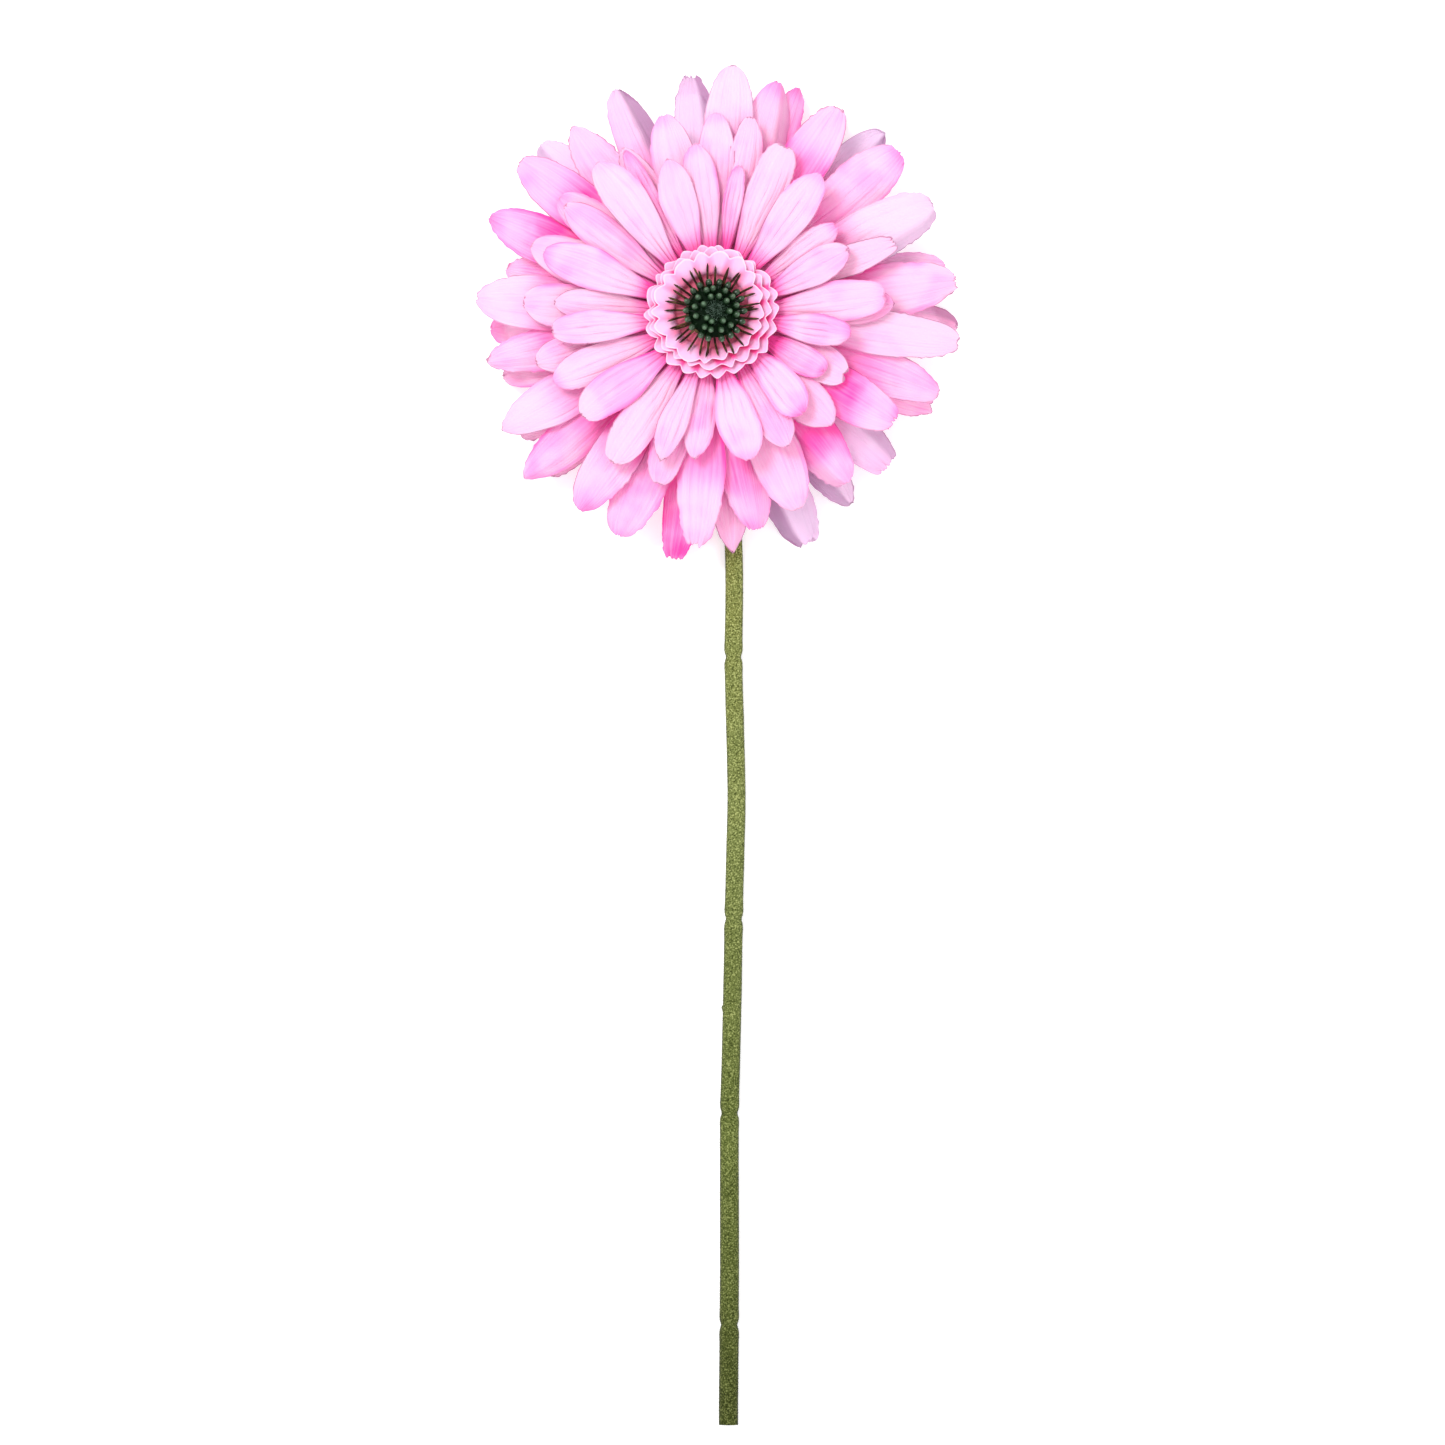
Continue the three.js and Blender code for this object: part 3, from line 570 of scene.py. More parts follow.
def ruffled_collar_tree():
    """A ring of cloth that climbs like a trumpet to a rim of waves and rounded lobes."""
    tree, given, output = new_tree(
        "ruffled collar", "GeometryNodeTree",
        {
            "Centre": ("NodeSocketVector", None),
            "Hole Radius": ("NodeSocketFloat", 0.0016),
            "Floor Radius": ("NodeSocketFloat", 0.0085),
            "Bend Radius": ("NodeSocketFloat", 0.011),
            "Edge Radius": ("NodeSocketFloat", 0.014),
            "Bend Rise": ("NodeSocketFloat", 0.0004),
            "Edge Rise": ("NodeSocketFloat", 0.003),
            "Waves": ("NodeSocketInt", 24),
            "Ruffle Out": ("NodeSocketFloat", 0.0006),
            "Ruffle Up": ("NodeSocketFloat", 0.0004),
            "Lobe Depth": ("NodeSocketFloat", 0.14),
            "Sway": ("NodeSocketFloat", 0.0009),
            "Steep Side": ("NodeSocketFloat", 0.0),
            "Steep Edge Radius": ("NodeSocketFloat", 0.012),
            "Seed": ("NodeSocketFloat", 0.0),
            "Fabric": ("NodeSocketMaterial", None),
        },
        {"Geometry": "NodeSocketGeometry"},
    )
    grid = add(
        tree, "GeometryNodeMeshGrid", None,
        {
            "Size X": 1.0, "Size Y": 1.0, "Vertices Y": 37,
            "Vertices X": calc(tree, "ADD", calc(tree, "MULTIPLY", given["Waves"], 12.0), 1.0),
        },
    )
    split = add(
        tree, "ShaderNodeSeparateXYZ", None,
        {"Vector": add(tree, "GeometryNodeInputPosition").outputs[0]},
    )
    share = calc(tree, "ADD", split.outputs["X"], 0.5)
    out = calc(tree, "MULTIPLY", calc(tree, "ADD", split.outputs["Y"], 0.5), 3.0)
    angle = calc(tree, "MULTIPLY", share, 2 * math.pi)
    cosine = calc(tree, "COSINE", angle)
    sine = calc(tree, "SINE", angle)
    circle = xyz(tree, cosine, sine, 0.0)
    on_floor = calc(tree, "MINIMUM", out, 1.0)
    to_bend = calc(tree, "SUBTRACT", out, 1.0, clamped=True)
    uneven = cloud(tree, circle, 2.3, 1.0, given["Seed"])
    drift = calc(tree, "MULTIPLY", calc(tree, "SUBTRACT", uneven, 0.5), 8.0)
    phase = calc(tree, "MULTIPLY_ADD", angle, given["Waves"], drift)
    half_phase = calc(tree, "MULTIPLY", phase, 0.5)
    rounded = calc(tree, "POWER", calc(tree, "ABSOLUTE", calc(tree, "COSINE", half_phase)), 0.6)
    notch = calc(tree, "MULTIPLY", calc(tree, "SUBTRACT", 1.0, rounded), given["Lobe Depth"])
    to_edge = calc(tree, "SUBTRACT", out, 2.0, clamped=True)
    to_edge = calc(tree, "MULTIPLY", to_edge, calc(tree, "SUBTRACT", 1.0, notch))
    radius = calc(tree, "MULTIPLY_ADD", on_floor,
                  calc(tree, "SUBTRACT", given["Floor Radius"], given["Hole Radius"]),
                  given["Hole Radius"])
    radius = calc(tree, "MULTIPLY_ADD", to_bend,
                  calc(tree, "SUBTRACT", given["Bend Radius"], given["Floor Radius"]), radius)
    steep = calc(tree, "COSINE", calc(tree, "SUBTRACT", angle, given["Steep Side"]))
    steep = calc(tree, "MULTIPLY_ADD", steep, 0.7, 0.3, clamped=True)
    bell = calc(tree, "MULTIPLY_ADD", steep, -0.9, 2.2)
    spread = calc(tree, "POWER", to_edge, bell)
    edge_radius = calc(tree, "SUBTRACT", given["Steep Edge Radius"], given["Edge Radius"])
    edge_radius = calc(tree, "MULTIPLY_ADD", steep, edge_radius, given["Edge Radius"])
    radius = calc(tree, "MULTIPLY_ADD", spread,
                  calc(tree, "SUBTRACT", edge_radius, given["Bend Radius"]), radius)
    eased = calc(tree, "MULTIPLY", to_bend, to_bend)
    left = calc(tree, "SUBTRACT", 1.0, to_edge)
    climb = calc(tree, "SUBTRACT", 1.0, calc(tree, "POWER", left, bell))
    rise = calc(tree, "MULTIPLY", eased, given["Bend Rise"])
    rise = calc(tree, "MULTIPLY_ADD", climb,
                calc(tree, "SUBTRACT", given["Edge Rise"], given["Bend Rise"]), rise)
    ruffle = calc(tree, "DIVIDE", calc(tree, "ADD", to_bend, to_edge), 2.0)
    ruffle = calc(tree, "POWER", ruffle, 2.2)
    side = calc(tree, "COSINE", calc(tree, "MULTIPLY_ADD", phase, 2.0, 1.3))
    side = calc(tree, "MULTIPLY_ADD", side, 0.08, calc(tree, "COSINE", phase))
    swell = cloud(tree, circle, 3.3, 1.0, calc(tree, "ADD", given["Seed"], 7.3))
    swell = calc(tree, "MULTIPLY_ADD", swell, 2.6, -0.3)
    swing = calc(tree, "MULTIPLY", calc(tree, "MULTIPLY", side, ruffle), swell)
    swing = calc(tree, "MULTIPLY", swing, calc(tree, "MULTIPLY_ADD", steep, 0.3, 0.75))
    lean = cloud(tree, circle, 1.1, 0.0, calc(tree, "ADD", given["Seed"], 3.1))
    lean = calc(tree, "MULTIPLY", calc(tree, "SUBTRACT", lean, 0.5), given["Sway"])
    lean = calc(tree, "MULTIPLY", lean, calc(tree, "MULTIPLY", to_edge, 2.0))
    radius = calc(tree, "MULTIPLY_ADD", swing, given["Ruffle Out"], radius)
    radius = calc(tree, "ADD", radius, lean)
    fall = calc(tree, "MULTIPLY_ADD", swing, given["Ruffle Up"],
                calc(tree, "MULTIPLY", lean, 0.6))
    rise = calc(tree, "SUBTRACT", rise, fall)
    place = xyz(tree, calc(tree, "MULTIPLY", radius, cosine),
                calc(tree, "MULTIPLY", radius, sine), rise)
    kept = grid.outputs["Mesh"]
    for label, value in (("along", calc(tree, "DIVIDE", out, 3.0)), ("crest", side),
                         ("petal_seed", given["Seed"])):
        kept = add(tree, "GeometryNodeStoreNamedAttribute", {"data_type": "FLOAT"},
                   {"Geometry": kept, "Name": label, "Value": value}).outputs[0]
    moved = add(
        tree, "GeometryNodeSetPosition", None,
        {"Geometry": kept, "Position": vectors(tree, "ADD", place, given["Centre"])},
    )
    joined = add(
        tree, "GeometryNodeMergeByDistance", None,
        {"Geometry": moved.outputs[0], "Distance": 0.000002},
    )
    finish_tree(tree, output, joined.outputs[0], given["Fabric"])
    return tree


def stamens_tree():
    """Slim bristles round a ring, each bent up and swept to one side a little."""
    tree, given, output = new_tree(
        "stamens", "GeometryNodeTree",
        {
            "Centre": ("NodeSocketVector", None),
            "Count": ("NodeSocketInt", 30),
            "Root Radius": ("NodeSocketFloat", 0.0052),
            "Reach": ("NodeSocketFloat", 0.011),
            "Reach Spread": ("NodeSocketFloat", 0.0006),
            "Rise": ("NodeSocketFloat", 0.003),
            "Rise Spread": ("NodeSocketFloat", 0.0004),
            "Sweep": ("NodeSocketFloat", 0.0008),
            "Root Thickness": ("NodeSocketFloat", 0.00027),
            "Tip Thickness": ("NodeSocketFloat", 0.00026),
            "Start Turn": ("NodeSocketFloat", 0.0),
            "Seed": ("NodeSocketInt", 3),
            "Plastic": ("NodeSocketMaterial", None),
        },
        {"Geometry": "NodeSocketGeometry"},
    )
    spots = add(tree, "GeometryNodePoints", None, {"Count": given["Count"]})
    number = add(tree, "GeometryNodeInputIndex").outputs[0]

    def spread(amount, shift, place):
        """A random amount either way, the same all along one bristle."""
        made = add(
            tree, "FunctionNodeRandomValue", {"data_type": "FLOAT"},
            {"ID": place, "Seed": calc(tree, "ADD", given["Seed"], shift)},
        )
        wire(tree, made.inputs[2], calc(tree, "MULTIPLY", amount, -1.0))
        wire(tree, made.inputs[3], amount)
        return made.outputs[1]

    turn = calc(tree, "ADD", number, spread(0.24, 1, number))
    turn = calc(tree, "DIVIDE", turn, given["Count"])
    turn = calc(tree, "MULTIPLY_ADD", turn, 2 * math.pi, given["Start Turn"])
    line = add(tree, "GeometryNodeCurvePrimitiveLine", None,
               {"End": xyz(tree, 1.0), "Start": xyz(tree, 0.0)})
    bristle = add(tree, "GeometryNodeResampleCurve", None, {"Curve": line.outputs[0], "Count": 9})
    heading = add(tree, "FunctionNodeEulerToRotation", None, {"Euler": xyz(tree, 0.0, 0.0, turn)})
    planted = add(
        tree, "GeometryNodeInstanceOnPoints", None,
        {"Points": spots.outputs[0], "Instance": bristle.outputs[0],
         "Rotation": heading.outputs[0]},
    )
    real = add(tree, "GeometryNodeRealizeInstances", None, {"Geometry": planted.outputs[0]})
    which = add(tree, "GeometryNodeCurveOfPoint").outputs["Curve Index"]
    out = add(tree, "GeometryNodeSplineParameter").outputs["Factor"]
    direction = vectors(tree, "NORMALIZE", add(tree, "GeometryNodeInputTangent").outputs[0])
    sideways = vectors(tree, "CROSS_PRODUCT", (0, 0, 1), direction)
    reach = calc(tree, "ADD", given["Reach"], spread(given["Reach Spread"], 2, which))
    radius = calc(tree, "MULTIPLY_ADD", out,
                  calc(tree, "SUBTRACT", reach, given["Root Radius"]), given["Root Radius"])
    bend = calc(tree, "MULTIPLY", out, out)
    rise = calc(tree, "MULTIPLY", bend,
                calc(tree, "ADD", given["Rise"], spread(given["Rise Spread"], 3, which)))
    sweep = calc(tree, "MULTIPLY", bend, spread(given["Sweep"], 4, which))
    place = vectors(tree, "SCALE", direction, scale=radius)
    place = vectors(tree, "ADD", place, vectors(tree, "SCALE", sideways, scale=sweep))
    place = vectors(tree, "ADD", place, xyz(tree, 0.0, 0.0, rise))
    moved = add(
        tree, "GeometryNodeSetPosition", None,
        {"Geometry": real.outputs[0], "Position": vectors(tree, "ADD", place, given["Centre"])},
    )
    taper = calc(tree, "MULTIPLY_ADD", out,
                 calc(tree, "SUBTRACT", given["Tip Thickness"], given["Root Thickness"]),
                 given["Root Thickness"])
    round_off = calc(tree, "SUBTRACT", 1.1, calc(tree, "POWER", out, 24.0))
    round_off = calc(tree, "POWER", round_off, 0.5)
    sized = add(
        tree, "GeometryNodeSetCurveRadius", None,
        {"Curve": moved.outputs[0], "Radius": calc(tree, "MULTIPLY", taper, round_off)},
    )
    circle = add(tree, "GeometryNodeCurvePrimitiveCircle", None, {"Resolution": 7, "Radius": 1.0})
    swept = add(
        tree, "GeometryNodeCurveToMesh", None,
        {"Curve": sized.outputs[0], "Profile Curve": circle.outputs[0], "Fill Caps": True,
         "Scale": add(tree, "GeometryNodeInputRadius").outputs[0]},
    )
    finish_tree(tree, output, swept.outputs[0], given["Plastic"])
    return tree


def knob_ring_tree():
    """A ring of round-headed knobs that lean outwards."""
    tree, given, output = new_tree(
        "ring of knobs", "GeometryNodeTree",
        {
            "Centre": ("NodeSocketVector", None),
            "Count": ("NodeSocketInt", 12),
            "Ring Radius": ("NodeSocketFloat", 0.005),
            "Tilt": ("NodeSocketFloat", 0.5),
            "Knob Radius": ("NodeSocketFloat", 0.0007),
            "Knob Length": ("NodeSocketFloat", 0.0017),
            "Start Turn": ("NodeSocketFloat", 0.0),
            "Seed": ("NodeSocketInt", 5),
            "Plastic": ("NodeSocketMaterial", None),
        },
        {"Geometry": "NodeSocketGeometry"},
    )
    head = add(tree, "GeometryNodeMeshUVSphere", None,
               {"Segments": 14, "Rings": 9, "Radius": given["Knob Radius"]})
    shank = add(
        tree, "GeometryNodeMeshCone", None,
        {"Vertices": 12, "Side Segments": 1, "Fill Segments": 1,
         "Radius Top": calc(tree, "MULTIPLY", given["Knob Radius"], 0.82),
         "Radius Bottom": calc(tree, "MULTIPLY", given["Knob Radius"], 0.95),
         "Depth": given["Knob Length"]},
    )
    half = calc(tree, "MULTIPLY", given["Knob Length"], 0.5)
    lowered = add(
        tree, "GeometryNodeTransform", None,
        {"Geometry": shank.outputs[0],
         "Translation": xyz(tree, 0.0, 0.0, calc(tree, "MULTIPLY", half, -1.0))},
    )
    raised = add(
        tree, "GeometryNodeTransform", None,
        {"Geometry": head.outputs[0], "Scale": (1.0, 1.0, 1.35),
         "Translation": xyz(tree, 0.0, 0.0, calc(tree, "MULTIPLY", half, 0.4))},
    )
    knob = add(tree, "GeometryNodeJoinGeometry")
    tree.links.new(lowered.outputs[0], knob.inputs[0])
    tree.links.new(raised.outputs[0], knob.inputs[0])
    kept = add(
        tree, "GeometryNodeStoreNamedAttribute", {"data_type": "FLOAT"},
        {"Geometry": knob.outputs[0], "Name": "knob_top",
         "Value": calc(tree, "DIVIDE", add(
             tree, "ShaderNodeSeparateXYZ", None,
             {"Vector": add(tree, "GeometryNodeInputPosition").outputs[0]},
         ).outputs["Z"], given["Knob Length"])},
    )
    leaned = add(
        tree, "GeometryNodeTransform", None,
        {"Geometry": kept.outputs[0], "Translation": xyz(tree, given["Ring Radius"]),
         "Rotation": xyz(tree, 0.0, given["Tilt"], 0.0)},
    )
    spots = add(tree, "GeometryNodePoints", None,
                {"Count": given["Count"], "Position": given["Centre"]})
    number = add(tree, "GeometryNodeInputIndex").outputs[0]
    wobble = add(tree, "FunctionNodeRandomValue", {"data_type": "FLOAT"},
                 {"ID": number, "Seed": given["Seed"]})
    wire(tree, wobble.inputs[2], -0.25)
    wire(tree, wobble.inputs[3], 0.25)
    turn = calc(tree, "DIVIDE", calc(tree, "ADD", number, wobble.outputs[1]), given["Count"])
    turn = calc(tree, "MULTIPLY_ADD", turn, 2 * math.pi, given["Start Turn"])
    heading = add(tree, "FunctionNodeEulerToRotation", None, {"Euler": xyz(tree, 0.0, 0.0, turn)})
    planted = add(
        tree, "GeometryNodeInstanceOnPoints", None,
        {"Points": spots.outputs[0], "Instance": leaned.outputs[0],
         "Rotation": heading.outputs[0]},
    )
    finish_tree(tree, output, planted.outputs[0], given["Plastic"])
    return tree


def fibre_coat_tree():
    """Short fibres scattered over a surface, and the surface itself with them."""
    tree, given, output = new_tree(
        "fibre coat", "GeometryNodeTree",
        {
            "Surface": ("NodeSocketGeometry", None),
            "Fibres per Area": ("NodeSocketFloat", 4400000.0),
            "Fibre Length": ("NodeSocketFloat", 0.00026),
            "Fibre Radius": ("NodeSocketFloat", 0.00004),
            "Tilt": ("NodeSocketFloat", 0.7),
            "Keep Surface": ("NodeSocketBool", True),
            "Seed": ("NodeSocketInt", 11),
            "Coat": ("NodeSocketMaterial", None),
        },
        {"Geometry": "NodeSocketGeometry"},
    )
    scattered = add(
        tree, "GeometryNodeDistributePointsOnFaces", {"distribute_method": "RANDOM"},
        {"Mesh": given["Surface"], "Seed": given["Seed"],
         "Density": calc(tree, "MULTIPLY", given["Fibres per Area"], stored(tree, "coated"))},
    )
    fibre = add(
        tree, "GeometryNodeMeshCone", None,
        {"Vertices": 3, "Radius Bottom": given["Fibre Radius"], "Radius Top": 0.0,
         "Depth": given["Fibre Length"]},
    )
    rooted = add(
        tree, "GeometryNodeTransform", None,
        {"Geometry": fibre.outputs[0],
         "Translation": xyz(tree, 0.0, 0.0, calc(tree, "MULTIPLY", given["Fibre Length"], -0.15))},
    )
    lean = add(tree, "FunctionNodeRandomValue", {"data_type": "FLOAT_VECTOR"},
               {"Seed": calc(tree, "ADD", given["Seed"], 1.0)})
    wire(tree, lean.inputs[0], xyz(tree, calc(tree, "MULTIPLY", given["Tilt"], -1.0),
                                   calc(tree, "MULTIPLY", given["Tilt"], -1.0), -3.1))
    wire(tree, lean.inputs[1], xyz(tree, given["Tilt"], given["Tilt"], 3.1))
    turned = add(
        tree, "FunctionNodeRotateRotation", {"rotation_space": "LOCAL"},
        {"Rotation": scattered.outputs["Rotation"],
         "Rotate By": add(tree, "FunctionNodeEulerToRotation", None,
                          {"Euler": lean.outputs[0]}).outputs[0]},
    )
    size = add(tree, "FunctionNodeRandomValue", {"data_type": "FLOAT"},
               {"Seed": calc(tree, "ADD", given["Seed"], 2.0)})
    wire(tree, size.inputs[2], 0.6)
    wire(tree, size.inputs[3], 1.15)
    planted = add(
        tree, "GeometryNodeInstanceOnPoints", None,
        {"Points": scattered.outputs["Points"], "Instance": rooted.outputs[0],
         "Rotation": turned.outputs[0], "Scale": size.outputs[1]},
    )
    fibres = add(tree, "GeometryNodeRealizeInstances", None, {"Geometry": planted.outputs[0]})
    split = add(tree, "ShaderNodeSeparateXYZ", None,
                {"Vector": add(tree, "GeometryNodeInputPosition").outputs[0]})
    on_table = xyz(tree, split.outputs["X"], split.outputs["Y"],
                   calc(tree, "MAXIMUM", split.outputs["Z"], 0.0))
    flattened = add(tree, "GeometryNodeSetPosition", None,
                    {"Geometry": fibres.outputs[0], "Position": on_table})
    kept = add(
        tree, "GeometryNodeSwitch", {"input_type": "GEOMETRY"},
        {"Switch": given["Keep Surface"], "True": given["Surface"]},
    )
    whole = add(tree, "GeometryNodeJoinGeometry")
    tree.links.new(kept.outputs[0], whole.inputs[0])
    tree.links.new(flattened.outputs[0], whole.inputs[0])
    finish_tree(tree, output, whole.outputs[0], given["Coat"])
    return tree


# ---- shader groups and materials ------------------------------------------------------


def blend(tree, share, under, over, mode="MIX"):
    """One colour over another."""
    made = add(tree, "ShaderNodeMix", {"data_type": "RGBA", "blend_type": mode})
    wire(tree, made.inputs[0], share)
    wire(tree, made.inputs[6], under)
    wire(tree, made.inputs[7], over)
    return made.outputs[2]


def colour_steps(tree, amount, steps):
    """A colour for an amount, from [(place, (r, g, b)), ...]."""
    made = add(tree, "ShaderNodeValToRGB", None, {"Fac": amount})
    marks = made.color_ramp.elements
    while len(marks) < len(steps):
        marks.new(1.0)
    for mark, (place, colour) in zip(marks, steps):
        mark.position = place
        mark.color = (*colour, 1.0)
    return made.outputs["Color"]


def group(tree, shared, inputs):
    """Places a shared shader group with its own values."""
    made = tree.nodes.new("ShaderNodeGroup")
    made.node_tree = shared
    for label, value in inputs.items():
        wire(tree, made.inputs[label], value)
    return made.outputs


def kept_value(tree, label):
    """A vertex value kept on the mesh, for a material."""
    return add(tree, "ShaderNodeAttribute", {"attribute_name": label}).outputs["Fac"]


def object_place(tree):
    return add(tree, "ShaderNodeTexCoord").outputs["Object"]


def new_finish(name, **numbers):
    """A material with its Principled shader and the numbers that are even all over it."""
    material = bpy.data.materials.new(name)
    material.use_nodes = True
    shader = material.node_tree.nodes["Principled BSDF"]
    for label, value in numbers.items():
        shader.inputs[label.replace("_", " ")].default_value = value
    return material, material.node_tree, shader


def bump(tree, shader, height, distance, strength=1.0):
    made = add(
        tree, "ShaderNodeBump", None,
        {"Height": height, "Distance": distance, "Strength": strength},
    )
    tree.links.new(made.outputs[0], shader.inputs["Normal"])


def petal_dye_and_shade_group():
    """The colour of a petal: deep at the root, partly dye and partly painted shade, cloudy further
    out, lilac on some petals, with painted shade along its sides, in its pressed lines, along its
    cut edges and on its turned-down side.
    """
    tree, given, output = new_tree(
        "petal dye and painted shade", "ShaderNodeTree",
        {
            "Place": ("NodeSocketVector", None),
            "Along": ("NodeSocketFloat", 0.5),
            "Across": ("NodeSocketFloat", 0.0),
            "Depth": ("NodeSocketFloat", 0.0),
            "Tone": ("NodeSocketFloat", 0.0),
            "Petal": ("NodeSocketFloat", 0.0),
            "Dye": ("NodeSocketFloat", 0.3),
            "Root Dye and Shade": ("NodeSocketFloat", 0.5),
            "Cloud Dye": ("NodeSocketFloat", 0.25),
            "Tone Dye": ("NodeSocketFloat", 0.36),
            "Spot Dye": ("NodeSocketFloat", 0.2),
            "From Edge": ("NodeSocketFloat", 1.0),
            "Turned Down Shade": ("NodeSocketFloat", 0.0),
            "Lilac": ("NodeSocketColor", (0.56, 0.41, 0.57, 1.0)),
            "Lines": ("NodeSocketFloat", PRESSED_LINES),
            "Pressed Dye and Shade": ("NodeSocketFloat", 0.07),
            "Rim Dye": ("NodeSocketFloat", 0.3),
            "Side Shade": ("NodeSocketFloat", 0.14),
        },
        {"Color": "NodeSocketColor", "Streaks": "NodeSocketFloat", "Pressed": "NodeSocketFloat"},
    )
    clouds = cloud(tree, given["Place"], 75.0, 2.0, given["Petal"])
    clouds = ramp_between(tree, clouds, 0.46, 0.68)
    blush = cloud(tree, given["Place"], 38.0, 1.0, calc(tree, "ADD", given["Petal"], 5.0))
    blush = ramp_between(tree, blush, 0.36, 0.62)
    strong = calc(tree, "MAXIMUM", given["Tone"], 0.0)
    faint = calc(tree, "MAXIMUM", calc(tree, "MULTIPLY", given["Tone"], -1.0), 0.0)
    streak_place = xyz(
        tree, calc(tree, "MULTIPLY", given["Across"], 7.0),
        calc(tree, "MULTIPLY", given["Along"], 1.6), given["Petal"],
    )
    streaks = cloud(tree, streak_place, 1.6, 3.0)
    # the deep pink of the root is partly dye and partly painted shade among the petals' roots and,
    # on the outer sheets, under the inner petals
    amount = calc(tree, "MULTIPLY_ADD", given["Depth"], given["Root Dye and Shade"], given["Dye"])
    amount = calc(tree, "MULTIPLY_ADD", clouds, given["Cloud Dye"], amount)
    spots = cloud(tree, given["Place"], 120.0, 1.0, calc(tree, "ADD", given["Petal"], 13.0))
    # the spots come only where the root's dye and painted shade are
    spots = calc(tree, "MULTIPLY", ramp_between(tree, spots, 0.46, 0.7), given["Depth"])
    spots = calc(tree, "MULTIPLY", spots, ramp_between(tree, given["Along"], 0.3, 0.5))
    amount = calc(tree, "MULTIPLY_ADD", spots, given["Spot Dye"], amount)
    tone_dye = calc(tree, "MULTIPLY", strong, given["Tone Dye"])
    blushed = calc(tree, "MULTIPLY_ADD", blush, 0.6, 0.4)
    amount = calc(tree, "MULTIPLY_ADD", blushed, tone_dye, amount)
    amount = calc(tree, "MULTIPLY_ADD", calc(tree, "SUBTRACT", streaks, 0.5), 0.42, amount)
    turn = pressed_line_turn(tree, given["Along"], given["Across"], given["Petal"], given["Lines"])
    pressed = calc(tree, "POWER", calc(tree, "MAXIMUM", calc(tree, "COSINE", turn), 0.0), 6.0)
    reached = calc(tree, "MULTIPLY", ramp_between(tree, given["Along"], 0.0, 0.12),
                   ramp_between(tree, given["Along"], 0.7, 0.95, 1.0, 0.0))
    pressed = calc(tree, "MULTIPLY", pressed, reached)
    number = calc(tree, "ROUND", calc(tree, "MULTIPLY", turn, 0.5 / math.pi))
    patchy = cloud(tree, xyz(tree, calc(tree, "MULTIPLY", number, 7.3), given["Along"]), 2.2, 1.0,
                   given["Petal"])
    pressed = calc(tree, "MULTIPLY", pressed, ramp_between(tree, patchy, 0.38, 0.62))
    # the pressed lines are deepened in colour, partly as dye held in the grooves and partly as
    # painted shade in them
    amount = calc(tree, "MULTIPLY_ADD", pressed, given["Pressed Dye and Shade"], amount)
    across = calc(tree, "ABSOLUTE", given["Across"])
    beside = ramp_between(tree, across, 0.72, 1.0)
    rim = calc(tree, "MAXIMUM", beside, ramp_between(tree, given["Along"], 0.86, 1.0))
    # painted shade: the long edges are deeper pink near the root, where the petals meet and overlap
    side = calc(tree, "MULTIPLY", ramp_between(tree, across, 0.5, 1.0),
                ramp_between(tree, given["Along"], 0.1, 0.8, 1.0, 0.0))
    amount = calc(tree, "MULTIPLY_ADD", side, given["Side Shade"], amount)
    taken = cloud(tree, given["Place"], 55.0, 1.0, calc(tree, "ADD", given["Petal"], 9.0))
    rim = calc(tree, "MULTIPLY", rim, ramp_between(tree, taken, 0.46, 0.6))
    amount = calc(tree, "MULTIPLY_ADD", rim, given["Rim Dye"], amount, clamped=True)
    pink = colour_steps(tree, amount, [
        (0.0, (0.91, 0.555, 0.72)), (0.32, (0.92, 0.45, 0.675)), (0.62, (0.93, 0.28, 0.60)),
        (1.0, (0.95, 0.06, 0.38)),
    ])
    lilac_share = calc(tree, "MULTIPLY", ramp_between(tree, given["Along"], 0.15, 0.65), faint)
    lilac_share = calc(tree, "MULTIPLY", lilac_share, calc(tree, "MULTIPLY_ADD", blush, -0.3, 1.3),
                       clamped=True)
    lilac_share = calc(tree, "MULTIPLY", lilac_share,
                       calc(tree, "MULTIPLY_ADD", given["Depth"], -0.9, 1.0, clamped=True))
    shade = blend(tree, lilac_share, pink, given["Lilac"])
    # painted shade: the turned-down side of a sharply folded petal is darkened towards deep plum
    turned_down_shade = calc(tree, "MULTIPLY", given["Turned Down Shade"], 0.75)
    shade = blend(tree, turned_down_shade, shade, (0.33, 0.14, 0.30, 1.0))
    # a dark line along the cut edge, partly singed cloth and partly painted shade where one petal
    # overlaps another
    edge_line_and_shade = calc(tree, "MULTIPLY", ramp_between(tree, given["From Edge"], 0.12, 0.32, 0.65, 0.0),
                  ramp_between(tree, taken, 0.4, 0.6, 1.0, 0.15))
    shade = blend(tree, edge_line_and_shade, shade, (0.24, 0.06, 0.15, 1.0))
    tree.links.new(shade, output.inputs["Color"])
    tree.links.new(streaks, output.inputs["Streaks"])
    tree.links.new(pressed, output.inputs["Pressed"])
    return tree


